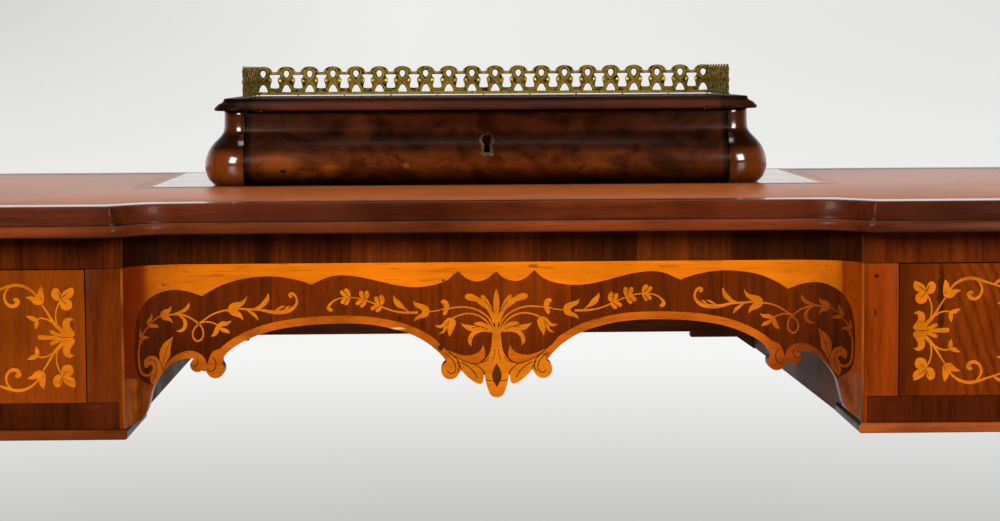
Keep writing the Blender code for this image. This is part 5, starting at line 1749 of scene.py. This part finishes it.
def addKneeholeLinings():
    # linings of the kneehole, notched over the beads; the right one leans in and ends in a small bracket
    low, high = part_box("right_inner_panel")
    railLow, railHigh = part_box("back_rail")
    play = lining["play"]
    front, beadBack, face = lining["front"], lining["beadBack"], lining["face"]
    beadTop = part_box("right_foot_bead")[1].z + play
    top = plan["carcaseTop"] - play
    for side, word in ((1, "right"), (-1, "left")):
        bottom = low.z + (lining["leftRise"] if side < 0 else 0)
        taper = lining["rightTaper"] if side > 0 else 0
        sheet = [(front, top), (front, beadTop), (beadBack, beadTop), (beadBack, bottom), (high.y, bottom),
                 (high.y, top)]
        board = addPrismAlongX(sheet, side * face, side * (low.x - 0.0002))
        for vertex in board.data.vertices:
            if abs(abs(vertex.co.x) - face) < 0.00001:
                vertex.co.x -= side * taper * (vertex.co.y - front) / (high.y - front)
        softEdges(board)
        if taper:
            reach, drop = lining["bracket"]
            inner = face - taper
            under, foot = railLow.z - 0.0002, railLow.z - drop
            corner = [(inner - reach, under), (inner, foot), (inner + 0.008, foot), (inner + 0.008, under)]
            bracket = growRings([[(x, y, z) for x, z in corner] for y in (railLow.y + 0.0001, railHigh.y)])
            board = joinAll([board, bracket])
        handOver(board, word + "KneeholeLining", wood["kneeholePanels"])


def addBackRail():
    # its lower edge is raised between two steps
    low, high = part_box("back_rail")
    stepZ = low.z + lining["railRise"]
    left, right = lining["railSteps"]
    outline = [(low.x, high.z), (low.x, low.z), (left, low.z), (left, stepZ), (right, stepZ), (right, low.z),
               (high.x, low.z), (high.x, high.z)]
    item = standUp(fillLoops([outline], high.y - low.y), low.y, high.y)
    handOver(softEdges(item, 0.0005), "backRail", wood["backRailWood"], ("back_rail",))


legs = {
    "levels": ((0.0, 0.25, 0.68), (0.05, 0.75, 0.94), (0.11, 1.0, 1.0), (0.19, 0.86, 0.86),
               (0.29, 0.50, 0.56), (0.40, 0.15, 0.26), (0.52, -0.0625, 0.08), (0.64, -0.1375, 0.01),
               (0.76, -0.1625, 0.0), (0.86, -0.0625, 0.08), (0.92, 0.80, 0.36), (0.955, 1.76, 0.68),
               (0.98, 2.08, 0.76), (1.0, 1.92, 0.64)),
    "reach": 0.010, "backShare": 0.6, "knee": 0.025, "ankle": 0.0125, "foot": 0.0225, "post": 0.021,
    "corner": 0.55, "postCorner": 0.0022, "steps": 3, "start": 0.0022, "play": 0.0003,
}


def squareRing(centre, half, corner, z):
    ring = []
    for turn in range(4):
        signX = 1 if turn in (0, 3) else -1
        signY = 1 if turn in (0, 1) else -1
        middle = (centre[0] + signX * (half - corner), centre[1] + signY * (half - corner))
        ring += [(x, y, z) for x, y in arcRun(middle, corner, turn * 90, turn * 90 + 90, 5)]
    return ring


def addLegs():
    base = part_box("right_foot_bead")[0].z
    for word, side, end in (("front_left", -1, -1), ("front_right", 1, -1), ("back_left", -1, 1),
                            ("back_right", 1, 1)):
        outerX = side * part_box("right_outer_panel")[1].x
        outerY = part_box("left_inner_stile")[0].y if end < 0 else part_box("back_rail")[1].y
        half = legs["post"]
        centre = (outerX - side * half, outerY - end * half)
        rings = [squareRing(centre, half, legs["postCorner"], z)
                 for z in (plan["carcaseTop"] - legs["play"], base)]
        for share, reachShare, fullness in smoothRun(legs["levels"], legs["steps"]):
            widest = legs["knee"] if share < 0.5 else legs["foot"]
            radius = legs["ankle"] + (widest - legs["ankle"]) * max(fullness, 0)
            reach = legs["reach"] * reachShare
            depth = reach * (legs["backShare"] if end > 0 and reach > 0 else 1)
            middle = (centre[0] + side * (reach + half - radius), centre[1] + end * (depth + half - radius))
            z = (base - legs["start"]) * (1 - min(max(share, 0), 1))
            rings.append(squareRing(middle, radius, radius * legs["corner"], z))
        handOver(growRings(rings), titled(word + "_leg"), wood["legWalnut"], (word + "_leg",), 35)


fillet = {"front": 0.0007, "back": 0.0008, "foot": 0.5925, "top": 0.7370, "railTop": 0.7368}


def addFillets():
    # light strips up both edges of the kneehole, with a lipping that joins each to its stile and rails
    strips = []
    inner, outer = (side * mm for side in apron["strip"])
    front = apron["frontY"]
    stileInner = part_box("right_inner_stile")[0].x + 0.0002
    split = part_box("right_top_rail")[0].z
    for side, word in ((-1, "left"), (1, "right")):
        strip = addBoard((side * inner, front - fillet["front"], fillet["foot"]),
                         (side * outer, front + fillet["back"], fillet["top"]))
        strips.append(softEdges(pointOut(strip), 0.0006, 3))
        for kind, finish, lowZ, highZ in (
                ("StileLipping", "stileWood" + word.title(), fillet["foot"], split),
                ("RailLipping", "railVeneer", split, fillet["railTop"])):
            lipping = addBoard(
                (side * outer, front - 0.0002, lowZ), (side * stileInner, front + 0.0004, highZ))
            handOver(softEdges(pointOut(lipping), 0.0001, 1), word + kind, wood[finish])
    handOver(joinAll(strips), "kneeholeFillets", wood["filletWood"])


addCamera()
addWorld()
addStudio()
print("camera and studio ready")
addTopEdges()
addTop()
print("top ready")
addApron()
addApronLayers()
addMarquetry()
addFillets()
print("apron ready")
addPlainBoards()
addFootBeads()
addKneeholeLinings()
addBackRail()
addLegs()
print("carcase ready")
addDrawerMarquetry(-1, "left")
addDrawerMarquetry(1, "right")
addUpperDrawer()
addCornerBlocks()
addCaseSides()
addCornice()
print("raised case ready")
addGallery()
addKeyholePlates()
print("brass ready")

for name, item in nodes.items():
    isBrass = any(word in name for word in ("gallery", "lock", "plate"))
    item.data.materials.clear()
    item.data.materials.append(brass if isBrass else wood["carcaseWalnut"])
